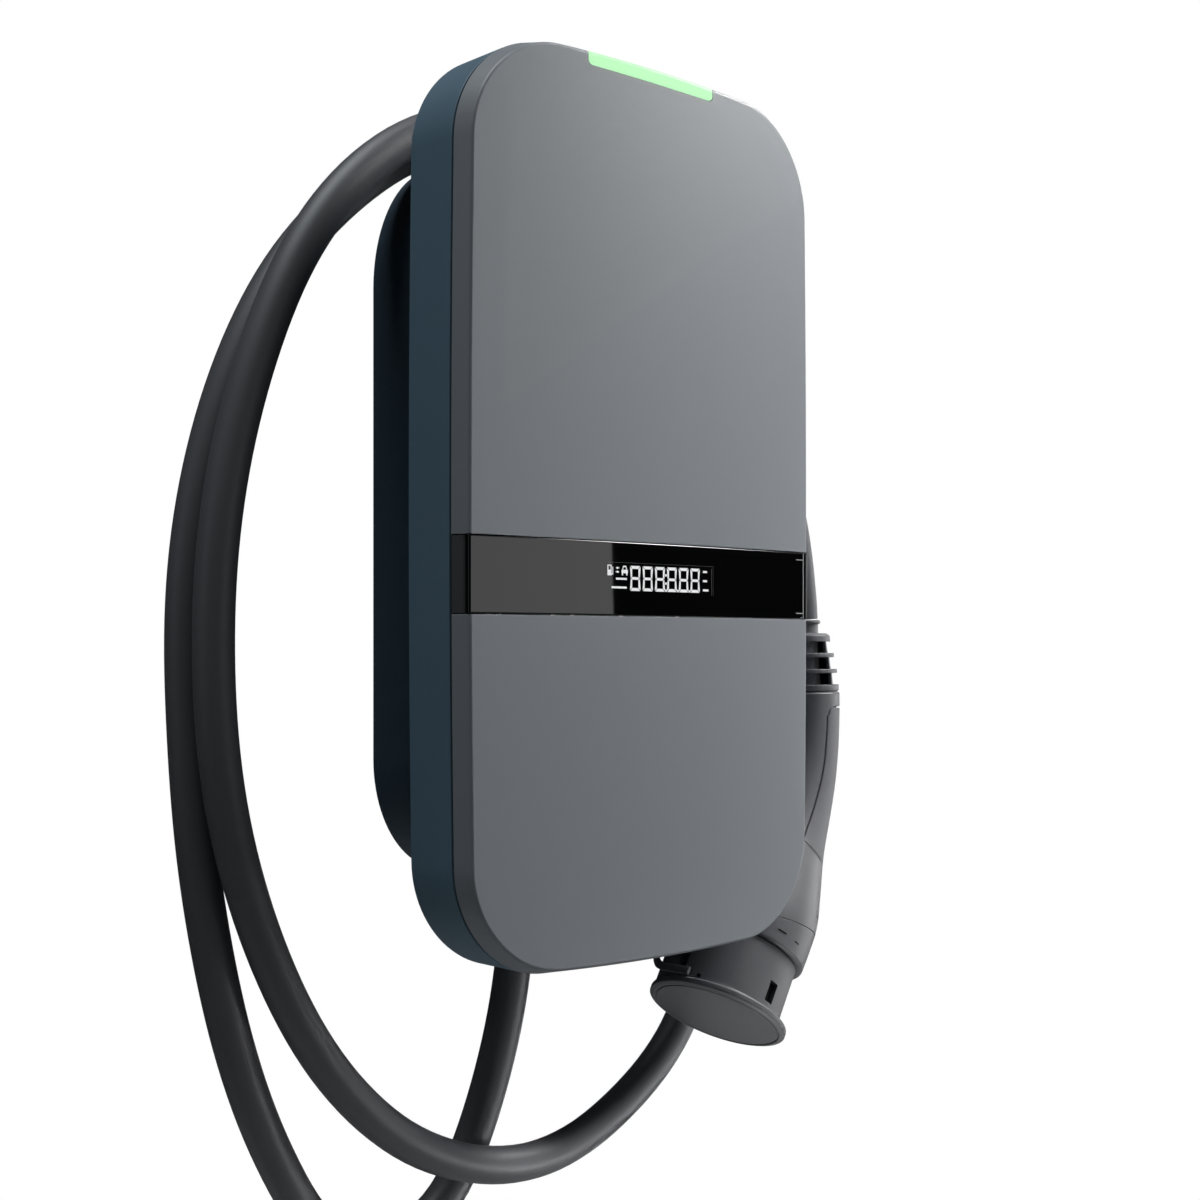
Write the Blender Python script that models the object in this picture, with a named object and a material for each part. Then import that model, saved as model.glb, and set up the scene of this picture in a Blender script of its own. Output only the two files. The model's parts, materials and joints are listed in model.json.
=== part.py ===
"""Wall-mounted EV charging station with a tethered Type 2 lead.

Frame: +X to the right seen from the front, +Y towards the wall, +Z up.
Origin: centre of the wall bracket's rear face, which lies in the plane y = 0.
All lengths are in metres; the MM factor lets the dimensions be written in mm.
"""
import bpy
import bmesh
from math import sin, cos, pi, radians, sqrt, atan2
from mathutils import Vector, Matrix

for ob in list(bpy.data.objects):
    bpy.data.objects.remove(ob, do_unlink=True)

MM = 0.001
GAP = 0.3                      # clearance between touching pieces

# ---------------------------------------------------------------- dimensions
DEPTH = 123.3                  # wall to the apex of the bowed front
BOW = 4.4                      # how far the front's side edges fall back
FRONT_HW, FRONT_HH, FRONT_R = 100.4, 189.7, 43.5
SEAM_HW, SEAM_HH, SEAM_R = 102.6, 191.9, 45.7
SIDE_BULGE, TOP_BULGE = 2.2, 3.2
Y_FRONT = -DEPTH               # apex plane of the front face
Y_EDGE = Y_FRONT + BOW
Y_COVER_REAR = -109.9
Y_HOUSING_FRONT = -108.7
Y_HOUSING_REAR = -80.8
WALL_T = 2.5                   # plastic wall thickness

BOX_HW, BOX_TOP, BOX_BOTTOM = 66.4, 169.8, -163.2
BOX_RX, BOX_RZ_TOP, BOX_RZ_BOTTOM = 40.4, 62.2, 53.7    # elliptical corners
WEB_Y0, WEB_Y1 = -4.4, -7.0    # the rear web of the back box

BAND_TOP, BAND_BOTTOM = -12.5, -44.6
BAND_GAP = 0.45
BAR_HALF, BAR_HEIGHT, BAR_X = 37.5, 6.4, -4.5

CABLE_D = 17.3
HANDLE_X, HANDLE_Y = 181.3, -47.5
HANDLE_TOP, HANDLE_KNEE = -82.0, -140.0
NOSE_TIP = (98.0, -63.0, -242.1)
NOSE_UP = (79.0, 15.5, 111.0)  # from the mating end towards the handle
SEAM_TILT = 13.4               # collar seam, degrees off square to the nose


# ---------------------------------------------------------------- materials
def material(name, color, rough=0.5, metal=0.0):
    m = bpy.data.materials.new(name)
    m.use_nodes = True
    b = m.node_tree.nodes["Principled BSDF"]
    b.inputs["Base Color"].default_value = (*color, 1.0)
    b.inputs["Roughness"].default_value = rough
    b.inputs["Metallic"].default_value = metal
    return m


COVER_GREY = (0.145, 0.160, 0.178)
HOUSING_BLUE = (0.020, 0.030, 0.040)


# ---------------------------------------------------------------- helpers
def finish(name, bm, mat, angle=35.0, flat=False):
    bmesh.ops.recalc_face_normals(bm, faces=bm.faces[:])
    me = bpy.data.meshes.new(name)
    bm.to_mesh(me)
    bm.free()
    me.materials.append(mat)
    ob = bpy.data.objects.new(name, me)
    bpy.context.scene.collection.objects.link(ob)
    if not flat:
        me.shade_smooth()
        me.set_sharp_from_angle(angle=radians(angle))
    return ob


def outline(hw, hh, r, side=0.0, top=0.0, nc=8, ns=8, nt=6):
    """Rounded rectangle in XZ whose straight sides bulge outwards a little."""
    pts = []
    corners = [(hw - r, hh - r, 0), (-(hw - r), hh - r, 90),
               (-(hw - r), -(hh - r), 180), (hw - r, -(hh - r), 270)]
    for cx, cz, a0 in corners:
        for k in range(nc + 1):
            t = radians(a0 + 90.0 * k / nc)
            pts.append((cx + r * cos(t), cz + r * sin(t)))
        if a0 in (0, 180):
            s = 1 if a0 == 0 else -1
            for k in range(1, nt):
                pts.append((s * (hw - r) * (1 - 2 * k / nt), s * hh))
        else:
            s = -1 if a0 == 90 else 1
            for k in range(1, ns):
                pts.append((s * hw, -s * (hh - r) * (1 - 2 * k / ns)))
    out = []
    for x, z in pts:
        out.append((x * (1 + side / hw * (1 - (z / hh) ** 2)),
                    z * (1 + top / hh * (1 - (x / hw) ** 2))))
    return out


def ring(bm, pts, y, cx=0.0, cz=0.0):
    return [bm.verts.new(((x + cx) * MM, y * MM, (z + cz) * MM)) for x, z in pts]


def bridge(bm, a, b):
    n = len(a)
    for i in range(n):
        j = (i + 1) % n
        bm.faces.new((a[i], a[j], b[j], b[i]))


def shell(bm, levels, loop=False):
    """levels: (outline points, y) from one end to the other; ends are capped
    unless the section closes on itself."""
    rings = [ring(bm, p, y) for p, y in levels]
    for a, b in zip(rings, rings[1:]):
        bridge(bm, a, b)
    if loop:
        bridge(bm, rings[-1], rings[0])
    else:
        bm.faces.new(rings[0])
        bm.faces.new(rings[-1])


def cover_bm():
    """The whole front skin before it is parted: a shallow tray, open at the
    rear, whose face bows forward about a vertical axis."""
    bm = bmesh.new()
    f = lambda d: outline(FRONT_HW - d, FRONT_HH - d, FRONT_R - d, SIDE_BULGE, TOP_BULGE)
    s = lambda d: outline(SEAM_HW - d, SEAM_HH - d, SEAM_R - d, SIDE_BULGE, TOP_BULGE)
    levels = [(f(1.5), Y_FRONT), (f(0.45), Y_FRONT + 0.45), (f(0.0), Y_FRONT + 1.5),
              (s(0.0), Y_COVER_REAR), (s(WALL_T), Y_COVER_REAR),
              (f(WALL_T), Y_FRONT + WALL_T)]
    shell(bm, levels)
    cols = [-92 + 184 * i / 12 for i in range(13)]
    for x in cols:
        bmesh.ops.bisect_plane(bm, geom=bm.verts[:] + bm.edges[:] + bm.faces[:], dist=1e-7,
                               plane_co=(x * MM, 0, 0), plane_no=(1, 0, 0))
    bmesh.ops.triangulate(bm, faces=[f for f in bm.faces if len(f.verts) > 4])
    for v in bm.verts:
        y = v.co.y / MM
        if y < Y_FRONT + 3.0:
            w = 1.0
        else:
            w = max(0.0, (Y_COVER_REAR - y) / (Y_COVER_REAR - Y_FRONT - 3.0))
        v.co.y += w * BOW * (v.co.x / MM / FRONT_HW) ** 2 * MM
    return bm


def slice_bm(bm, co, no):
    """Cut away everything on the side the normal points to, and close it."""
    r = bmesh.ops.bisect_plane(bm, geom=bm.verts[:] + bm.edges[:] + bm.faces[:], dist=1e-7,
                               plane_co=Vector(co) * MM, plane_no=no, clear_outer=True)
    edges = [e for e in r["geom_cut"] if isinstance(e, bmesh.types.BMEdge)]
    bmesh.ops.holes_fill(bm, edges=edges, sides=0)


def box(name, lo, hi, mat, bevel=0.0, seg=1):
    bm = bmesh.new()
    bmesh.ops.create_cube(bm, size=1.0)
    for v in bm.verts:
        v.co = Vector([(lo[i] + (hi[i] - lo[i]) * (v.co[i] + 0.5)) * MM for i in range(3)])
    if bevel:
        bmesh.ops.bevel(bm, geom=bm.edges[:], offset=bevel * MM, segments=seg,
                        affect="EDGES", profile=0.5)
    return finish(name, bm, mat, 30)


def prism(name, pts, axis, a, b, mat, bevel=0.0):
    """Extrude a polygon along an axis from a to b. Points are given in the
    other two axes, in X, Y, Z order."""
    bm = bmesh.new()

    def at(p, t):
        c = {0: (t, p[0], p[1]), 1: (p[0], t, p[1]), 2: (p[0], p[1], t)}[axis]
        return bm.verts.new(Vector(c) * MM)
    r0 = [at(p, a) for p in pts]
    r1 = [at(p, b) for p in pts]
    bridge(bm, r0, r1)
    bm.faces.new(r0)
    bm.faces.new(r1)
    if bevel:
        bmesh.ops.bevel(bm, geom=bm.edges[:], offset=bevel * MM, segments=1, affect="EDGES")
    return finish(name, bm, mat, 30)


def axes_for(direction):
    w = Vector(direction).normalized()
    ref = Vector((0, 0, 1)) if abs(w.z) < 0.9 else Vector((1, 0, 0))
    u = ref.cross(w).normalized()
    return u, w.cross(u), w


def turned(name, profile, origin, direction, seg, mat, loop=False, phase=0.0, angle=35.0,
           frame=None):
    """Revolve (radius, distance) pairs about a line through origin."""
    u, v, w = frame if frame else axes_for(direction)
    o = Vector(origin)
    bm = bmesh.new()
    rings = []
    for r, t in profile:
        if r < 1e-6:
            rings.append([bm.verts.new((o + w * t) * MM)])
        else:
            rings.append([bm.verts.new((o + w * t + (u * cos(phase + 2 * pi * k / seg)
                          + v * sin(phase + 2 * pi * k / seg)) * r) * MM) for k in range(seg)])
    pairs = list(zip(rings, rings[1:]))
    if loop:
        pairs.append((rings[-1], rings[0]))
    for a, b in pairs:
        if len(a) == 1 and len(b) == 1:
            continue
        for k in range(seg):
            j = (k + 1) % seg
            if len(a) == 1:
                bm.faces.new((a[0], b[j], b[k]))
            elif len(b) == 1:
                bm.faces.new((a[k], a[j], b[0]))
            else:
                bm.faces.new((a[k], a[j], b[j], b[k]))
    if not loop:
        for e in (rings[0], rings[-1]):
            if len(e) > 1:
                bm.faces.new(e)
    return finish(name, bm, mat, angle)


def cut(ob, tool, op="DIFFERENCE"):
    tool.hide_render = True
    tool.display_type = "WIRE"
    m = ob.modifiers.new("bool", "BOOLEAN")
    m.operation = op
    m.solver = "EXACT"
    m.object = tool


# ---------------------------------------------------------------- casing
m_cover = material("cover_paint", COVER_GREY, 0.45)
m_lower = material("lower_cover_paint", COVER_GREY, 0.45)
m_housing = material("housing_plastic", HOUSING_BLUE, 0.5)
m_box = material("back_box_plastic", (0.014, 0.020, 0.026), 0.55)
m_black = material("band_black", (0.008, 0.008, 0.009), 0.35)
m_glass = material("window_black", (0.002, 0.002, 0.003), 0.06)
m_light = material("light_lens", (0.50, 0.93, 0.50), 0.4)
m_seal = material("seal_rubber", (0.012, 0.012, 0.012), 0.8)
m_pcb = material("circuit_board", (0.02, 0.09, 0.05), 0.5)
m_steel = material("zinc_steel", (0.55, 0.56, 0.57), 0.35, 1.0)
m_grey = material("module_grey", (0.40, 0.41, 0.42), 0.5)
m_dark = material("module_dark", (0.05, 0.05, 0.055), 0.5)
m_rubber = material("cable_rubber", (0.035, 0.036, 0.040), 0.6)
m_handle = material("connector_plastic", (0.075, 0.077, 0.083), 0.5)
m_grip = material("grip_rubber", (0.065, 0.067, 0.073), 0.7)
m_brass = material("contact_silver", (0.72, 0.70, 0.64), 0.3, 1.0)

# wall bracket: a pressed plate that is screwed to the wall first
bracket = prism("wall_bracket",
                [(-44, -128), (44, -128), (50, -122), (50, 122), (44, 128), (-44, 128),
                 (-50, 122), (-50, -122)], 1, -3.2, 0.0, m_steel)
SCREW_AT = [(-36, 110), (36, 110), (-36, -110), (36, -110)]
for i, (x, z) in enumerate(SCREW_AT):
    t = turned("cut_bracket_%d" % i, [(2.9, -6), (2.9, 6)], (x, 0, z), (0, 1, 0), 12, m_steel)
    cut(bracket, t)
for i, (x, z) in enumerate(SCREW_AT):
    turned("wall_screw_%d" % (i + 1),
           [(0, 0), (2.5, 0), (2.5, 3.5), (4.6, 3.5), (4.6, 4.1), (0, 4.1)],
           (x, 0, z), (0, -1, 0), 12, m_steel)

# back box: a deep narrow cup with a web near the wall, open to the front;
# its sides are what the lead is wound round
def bx(d, nc=8):
    """Back box outline, inset by d."""
    pts = []
    xc = BOX_HW - BOX_RX
    for q, (sx, sz) in enumerate(((1, 1), (-1, 1), (-1, -1), (1, -1))):
        rz = BOX_RZ_TOP if sz > 0 else BOX_RZ_BOTTOM
        zc = (BOX_TOP - rz) if sz > 0 else (BOX_BOTTOM + rz)
        for k in range(nc + 1):
            t = radians(90.0 * q + 90.0 * k / nc)
            pts.append((sx * xc + (BOX_RX - d) * cos(t), zc + (rz - d) * sin(t)))
    return pts


bm = bmesh.new()
shell(bm, [(bx(WALL_T), WEB_Y0), (bx(WALL_T), -0.5), (bx(0.8), -0.5), (bx(0.0), -1.5),
           (bx(0.0), Y_HOUSING_REAR + GAP), (bx(WALL_T), Y_HOUSING_REAR + GAP),
           (bx(WALL_T), WEB_Y1)])
back_box = finish("back_box", bm, m_box)
GLAND_X, GLAND_Y = -9.0, -34.0
SUPPLY_X = 28.0
for nm, x, r in (("a", GLAND_X, 15.0), ("b", SUPPLY_X, 12.8)):
    cut(back_box, turned("cut_gland_" + nm, [(r, -12), (r, 12)], (x, GLAND_Y, -161),
                         (0, 0, 1), 20, m_box))
# main housing: the wide frame behind the front covers
sm = lambda d: outline(SEAM_HW - d, SEAM_HH - d, SEAM_R - d, SIDE_BULGE, TOP_BULGE)
op_ = bx(5.0, 8)
bm = bmesh.new()
rear = [ring(bm, sm(1.0), Y_HOUSING_REAR), ring(bm, sm(WALL_T), Y_HOUSING_REAR - WALL_T)]
mouth = [ring(bm, op_, Y_HOUSING_REAR), ring(bm, op_, Y_HOUSING_REAR - WALL_T)]
side_0 = ring(bm, sm(0.0), Y_HOUSING_REAR - 1.0)
rim_0 = ring(bm, sm(0.0), Y_HOUSING_FRONT)
rim_1 = ring(bm, sm(WALL_T), Y_HOUSING_FRONT)
for a, b in ((rear[0], side_0), (side_0, rim_0), (rim_0, rim_1), (rim_1, rear[1]),
             (mouth[0], mouth[1])):
    bridge(bm, a, b)
for a, b in ((rear[0], mouth[0]), (rear[1], mouth[1])):
    edges = []
    for r in (a, b):
        edges += [bm.edges.get((r[i], r[(i + 1) % len(r)])) for i in range(len(r))]
    bmesh.ops.triangle_fill(bm, use_beauty=True, use_dissolve=False, edges=edges)
main_housing = finish("main_housing", bm, m_housing)

# seal between the housing's rim and the covers
bm = bmesh.new()
shell(bm, [(sm(1.0), -109.6), (sm(1.0), -109.0), (sm(4.2), -109.0), (sm(4.2), -109.6)], loop=True)
finish("cover_seal", bm, m_seal)

# front covers, parted by the band
bm = cover_bm()
slice_bm(bm, (0, 0, BAND_TOP), (0, 0, -1))
upper_cover = finish("upper_cover", bm, m_cover)
bm = bmesh.new()
notch = prism("cut_light_bar",
              [(BAR_X - BAR_HALF, 210), (BAR_X - BAR_HALF, FRONT_HH + TOP_BULGE - BAR_HEIGHT + 2.2),
               (BAR_X - BAR_HALF + 2.2, FRONT_HH + TOP_BULGE - BAR_HEIGHT),
               (BAR_X + BAR_HALF - 2.2, FRONT_HH + TOP_BULGE - BAR_HEIGHT),
               (BAR_X + BAR_HALF, FRONT_HH + TOP_BULGE - BAR_HEIGHT + 2.2),
               (BAR_X + BAR_HALF, 210)],
              1, -140.0, -113.5, m_cover)
cut(upper_cover, notch)
bm.free()

bm = cover_bm()
slice_bm(bm, (0, 0, BAND_BOTTOM), (0, 0, 1))
finish("lower_cover", bm, m_lower)

# status light lens: fills the notch with a small gap all round
g = 0.35
bm = cover_bm()
zb = FRONT_HH + TOP_BULGE - BAR_HEIGHT + g
slice_bm(bm, (0, 0, zb), (0, 0, -1))
slice_bm(bm, (BAR_X + BAR_HALF - g, 0, 0), (1, 0, 0))
slice_bm(bm, (BAR_X - BAR_HALF + g, 0, 0), (-1, 0, 0))
slice_bm(bm, (0, -113.5 - g, 0), (0, 1, 0))
k = sqrt(0.5)
slice_bm(bm, (BAR_X + BAR_HALF - g - 2.2, 0, zb), (k, 0, -k))
slice_bm(bm, (BAR_X - BAR_HALF + g + 2.2, 0, zb), (-k, 0, -k))
finish("status_light_lens", bm, m_light)

# band: a carrier that wraps round to the seam, and the glossy window on it
WINDOW_T = 2.0
bm = cover_bm()
slice_bm(bm, (0, 0, BAND_TOP - BAND_GAP), (0, 0, 1))
slice_bm(bm, (0, 0, BAND_BOTTOM + BAND_GAP), (0, 0, -1))
for v in bm.verts:
    y = v.co.y / MM - BOW * (v.co.x / MM / FRONT_HW) ** 2
    if y < Y_FRONT + 3.2 and y > Y_FRONT + 2.0:
        v.co.y += (WINDOW_T + GAP) * MM
    elif y <= Y_FRONT + 2.0:
        v.co.y += (WINDOW_T + GAP) * MM
band_carrier = finish("band_carrier", bm, m_black)
LCD_X0, LCD_X1, LCD_Z0, LCD_Z1 = -31.5, 33.0, -35.2, -22.2
cut(band_carrier, box("cut_lcd", (LCD_X0 - GAP, -130, LCD_Z0 - GAP),
                      (LCD_X1 + GAP, -114.5, LCD_Z1 + GAP), m_black))

bm = bmesh.new()
zt, zb = BAND_TOP - BAND_GAP, BAND_BOTTOM + BAND_GAP
xe = FRONT_HW + SIDE_BULGE - 0.15
xs = [-xe, -xe + 0.8] + [-92 + 184 * i / 12 for i in range(13)] + [xe - 0.8, xe]
fr = [[bm.verts.new((x * MM, (Y_FRONT + (0.8 if abs(x) > xe - 0.1 else 0.0)
                     + BOW * (x / FRONT_HW) ** 2) * MM, z * MM)) for x in xs] for z in (zb, zt)]
re = [[bm.verts.new((x * MM, (Y_FRONT + WINDOW_T + BOW * (x / FRONT_HW) ** 2) * MM, z * MM))
       for x in xs] for z in (zb, zt)]
n = len(xs)
for i in range(n - 1):
    bm.faces.new((fr[0][i], fr[0][i + 1], fr[1][i + 1], fr[1][i]))
    bm.faces.new((re[0][i], re[1][i], re[1][i + 1], re[0][i + 1]))
    bm.faces.new((fr[0][i], re[0][i], re[0][i + 1], fr[0][i + 1]))
    bm.faces.new((fr[1][i], fr[1][i + 1], re[1][i + 1], re[1][i]))
for i in (0, n - 1):
    bm.faces.new((fr[0][i], fr[1][i], re[1][i], re[0][i]))
finish("band_window", bm, m_glass, 60)

# ---------------------------------------------------------------- electronics
yb = Y_FRONT + WINDOW_T + GAP
box("lcd_module", (LCD_X0, yb + BOW * 0.11 + 0.25, LCD_Z0), (LCD_X1, -114.9, LCD_Z1), m_dark, 0.4)
box("display_board", (-48, -114.2, -43.6), (48, -112.6, -13.5), m_pcb)
box("light_board", (-38, -111.8, 176.5), (30, -110.2, 184.5), m_pcb)
prism("control_board", [(-78, -60), (-70, -68), (70, -68), (78, -60), (78, 122), (70, 130),
                        (-70, 130), (-78, 122)], 1, -97.6, -96.0, m_pcb)
for i, (x, z) in enumerate([(-70, 120), (70, 120), (-70, -58), (70, -58)]):
    turned("board_standoff_%d" % (i + 1), [(3.2, 0), (3.2, 12.1)],
           (x, Y_HOUSING_REAR - WALL_T - GAP, z), (0, -1, 0), 6, m_steel)
box("rfid_antenna_board", (-32, -114.6, -120), (32, -113.2, -62), m_pcb)
prism("radio_module", [(-14, 60), (14, 60), (14, 90), (-14, 90)], 1, -101.0, -97.9, m_steel, 0.4)
prism("power_relay", [(-60, 20), (-22, 20), (-22, 66), (-60, 66)], 1, -112.0, -97.9, m_dark, 0.8)

prism("din_rail", [(-7.3, 20.5), (-7.3, 45.5), (-14.3, 45.5), (-14.3, 50.5), (-15.3, 50.5), (-15.3, 44.5),
                   (-8.3, 44.5), (-8.3, 21.5), (-15.3, 21.5), (-15.3, 15.5), (-14.3, 15.5),
                   (-14.3, 20.5)], 0, -56, 56, m_steel)


def module(name, x0, x1, mat):
    """A DIN-rail module: stepped nose, rail slot at the back."""
    pts = [(-15.8, -12), (-15.8, 78), (-58, 78), (-58, 56), (-74, 56), (-74, 10), (-58, 10),
           (-58, -12)]
    return prism(name, pts, 0, x0, x1, mat, 0.6)


module("energy_meter", -52, -17, m_grey)
module("contactor", -16.2, 19.8, m_dark)
module("fault_current_monitor", 20.6, 38.4, m_grey)
module("power_supply", 39.2, 55.4, m_dark)

comb = [(-44, -52), (-44, -22)]
for i in range(5):
    x = -40 + i * 17
    comb += [(x, -22), (x, -32), (x + 10, -32), (x + 10, -22)]
comb += [(44, -22), (44, -52)]
prism("terminal_block", comb, 2, -92, -64, m_grey)
prism("cord_clamp", [(GLAND_X - 18, -22), (GLAND_X + 18, -22), (GLAND_X + 18, -30),
                     (GLAND_X + 10, -46), (GLAND_X - 10, -46), (GLAND_X - 18, -30)],
      2, -136, -126, m_steel, 0.5)

# ---------------------------------------------------------------- glands and screws
BOTTOM = BOX_BOTTOM
gland = turned("cable_gland", [(0, 26), (14.6, 26), (14.6, -0.6), (19.0, -0.6), (20.0, -1.6),
                               (20.0, -7.4), (17.0, -8.4), (0, -8.4)],
               (GLAND_X, GLAND_Y, BOTTOM), (0, 0, 1), 18, m_dark)
turned("gland_cap_nut", [(0, -8.8), (19.0, -8.8), (20.2, -10.0), (20.2, -17.5), (18.6, -24.5),
                         (15.0, -30.0), (11.5, -32.8), (0, -32.8)],
       (GLAND_X, GLAND_Y, BOTTOM), (0, 0, 1), 18, m_dark)
turned("gland_lock_nut", [(15.0, 3.4), (19.5, 3.4), (19.5, 8.0), (15.0, 8.0)],
       (GLAND_X, GLAND_Y, BOTTOM), (0, 0, 1), 18, m_dark, loop=True)
turned("blanking_plug", [(0, 14), (12.4, 14), (12.4, -0.6), (15.0, -0.6), (15.0, -3.0),
                         (13.8, -4.2), (0, -4.2)],
       (SUPPLY_X, GLAND_Y, BOTTOM), (0, 0, 1), 18, m_dark)
turned("supply_gland_nut", [(12.8, 8.6), (15.2, 8.6), (15.2, 12.6), (12.8, 12.6)],
       (SUPPLY_X, GLAND_Y, BOTTOM), (0, 0, 1), 14, m_dark, loop=True)
for i, (x, z) in enumerate([(-84, 150), (84, 150), (-84, -150), (84, -150)]):
    turned("cover_screw_%d" % (i + 1), [(0, 0), (2.6, 0), (4.2, 0.6), (4.2, 2.2), (0, 2.2)],
           (x, Y_HOUSING_REAR + 2.5, z), (0, -1, 0), 12, m_steel)

# ---------------------------------------------------------------- connector
TIP = Vector(NOSE_TIP)
UP = Vector(NOSE_UP).normalized()                    # along the nose, towards the handle
OUTER = (Vector((1, 0, 0)) - UP * UP.x).normalized() # convex side of the bend
FRONTWARD = UP.cross(OUTER)
if FRONTWARD.y > 0:
    FRONTWARD = -FRONTWARD
NOSE = (OUTER, FRONTWARD, UP)

S_COLLAR0, S_COLLAR1, S_HANDLE = 35.5, 51.5, 51.8
TILT = sin(radians(SEAM_TILT)) / cos(radians(SEAM_TILT))


def nose(name, profile, seg, mat, loop=False, angle=35.0, phase=0.0):
    return turned(name, profile, TIP, UP, seg, mat, loop, phase, angle, NOSE)


# the collar's upper edge is cut on a slant, higher on the convex side
bm = bmesh.new()
rings = []
for r, t, slant in ((28.4, S_COLLAR0 + 0.3, 0), (32.8, S_COLLAR0 + 0.3, 0), (33.8, S_COLLAR0 + 1.7, 0),
                    (34.4, S_COLLAR1, 1), (28.4, S_COLLAR1, 1)):
    rings.append([bm.verts.new((TIP + UP * (t + slant * TILT * r * cos(a)) + OUTER * r * cos(a)
                                + FRONTWARD * r * sin(a)) * MM)
                  for a in (2 * pi * i / 32 for i in range(32))])
for a, b in zip(rings, rings[1:] + rings[:1]):
    bridge(bm, a, b)
finish("connector_collar", bm, m_handle)
nose("connector_shroud", [(25.7, 5.2), (27.9, 5.2), (27.9, 43.0), (25.7, 43.0)], 28,
     m_handle, loop=True)
insert = nose("contact_insert", [(0, 9.0), (25.3, 9.0), (25.3, 43.5), (0, 43.5)], 28, m_handle)
PINS = [("earth", 0, 0, 3.6), ("line_1", -14.6, 4.8, 3.6), ("neutral", 14.6, 4.8, 3.6),
        ("line_2", -9.0, -12.4, 3.6), ("line_3", 9.0, -12.4, 3.6),
        ("pilot", -7.6, 14.8, 2.4), ("proximity", 7.6, 14.8, 2.4)]
for nm, a, b, r in PINS:
    c = TIP + OUTER * a + FRONTWARD * b
    cut(insert, turned("cut_pin_" + nm, [(r + GAP, 5.0), (r + GAP, 30.0)], c, UP, 10, m_handle))
for nm, a, b, r in PINS:
    c = TIP + OUTER * a + FRONTWARD * b
    turned("contact_" + nm, [(r, 9.8), (r, 29.5), (r - 1.1, 29.5), (r - 1.1, 9.8)], c, UP, 10,
           m_brass, loop=True)

# dust cap: sleeve with four windows and a wide end flange. The sleeve stands
# a little towards the housing, so its wall is thicker there
FLANGE_R, SLEEVE_R0, SLEEVE_R1 = 35.5, 32.2, 32.5
SLEEVE_SHIFT = OUTER * -1.6 + FRONTWARD * -1.2
bm = bmesh.new()
rings = []
for r, s, off in ((31.6, 0.0, 0), (31.9, 0.6, 0), (32.3, 0.6, 0), (32.6, 0.0, 0), (33.4, 0.0, 0),
                  (FLANGE_R, 0.9, 0), (FLANGE_R, 3.2, 0), (FLANGE_R - 0.5, 4.0, 0),
                  (SLEEVE_R0, 4.3, 1), (SLEEVE_R1, S_COLLAR0 - GAP, 1),
                  (28.3, S_COLLAR0 - GAP, 0), (28.3, 4.4, 0)):
    rings.append([bm.verts.new((TIP + UP * s + SLEEVE_SHIFT * off + OUTER * r * cos(a)
                                + FRONTWARD * r * sin(a)) * MM)
                  for a in (2 * pi * i / 32 for i in range(32))])
for a, c in zip(rings, rings[1:]):
    bridge(bm, a, c)
bm.faces.new(rings[0])
bm.faces.new(rings[-1])
cap = finish("dust_cap", bm, m_rubber, 35.0)
for i in range(4):
    d = OUTER * cos(radians(85.5 + 90 * i)) + FRONTWARD * sin(radians(85.5 + 90 * i))
    e = d.cross(UP)
    bm = bmesh.new()
    vs = []
    for s in (8.4, 19.0):
        for a, b in ((27.0, -2.9), (35.5, -2.9), (35.5, 2.9), (27.0, 2.9)):
            vs.append(bm.verts.new((TIP + UP * s + SLEEVE_SHIFT + d * a + e * b) * MM))
    bm.faces.new(vs[0:4])
    bm.faces.new(vs[4:8])
    for j in range(4):
        bm.faces.new((vs[j], vs[(j + 1) % 4], vs[4 + (j + 1) % 4], vs[4 + j]))
    cut(cap, finish("cut_window_%d" % i, bm, m_rubber, flat=True))

# pull strap: a flat strip that starts blunt beside the flange, hugs the sleeve
# and then stands off it. Stations: angle from the outer side, radius, height
STRAP = [(166, 35.5, 6.7), (174, 35.6, 6.9), (181.5, 35.7, 7.3), (188.5, 35.8, 7.9), (196, 36.0, 8.9),
         (203, 36.2, 10.4), (210, 36.6, 12.4), (216, 37.2, 14.9), (222, 38.1, 18.0), (228, 39.1, 21.5),
         (232, 39.9, 25.2), (234, 40.3, 29.0)]


def strap_at(a, r, h):
    return TIP + UP * h + (OUTER * cos(radians(a)) + FRONTWARD * sin(radians(a))) * r


path = [strap_at(*q) for q in STRAP]
bm = bmesh.new()
prev = None
for i, (a, r, h) in enumerate(STRAP):
    along = (path[min(i + 1, len(path) - 1)] - path[max(i - 1, 0)]).normalized()
    out = OUTER * cos(radians(a)) + FRONTWARD * sin(radians(a))
    out = (out - along * out.dot(along)).normalized()
    wide = along.cross(out)
    q = [bm.verts.new((path[i] + out * n + wide * w) * MM)
         for n, w in ((-1.1, -2.0), (1.1, -2.0), (1.1, 2.0), (-1.1, 2.0))]
    if prev:
        bridge(bm, prev, q)
    else:
        bm.faces.new(q)
    prev = q
bm.faces.new(prev)
finish("cap_strap", bm, m_rubber, 50)

# handle: a swept body, vertical at the top and bent into the nose
C0 = Vector((HANDLE_X, HANDLE_Y, HANDLE_TOP))
C1 = Vector((HANDLE_X, HANDLE_Y, HANDLE_KNEE))
C3 = TIP + UP * S_HANDLE
C2 = C3 + UP * 45.0


def centre(t):
    return C0 * (1 - t) ** 3 + C1 * 3 * t * (1 - t) ** 2 + C2 * 3 * t * t * (1 - t) + C3 * t ** 3


def tangent(t):
    return ((C1 - C0) * (1 - t) ** 2 + (C2 - C1) * 2 * t * (1 - t) + (C3 - C2) * t * t).normalized()


RADII = [(0.0, 20.3), (0.15, 20.9), (0.30, 21.8), (0.45, 22.9), (0.58, 24.6), (0.68, 27.0),
         (0.76, 29.2), (0.84, 31.2), (0.92, 33.2), (1.0, 34.4)]


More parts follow.
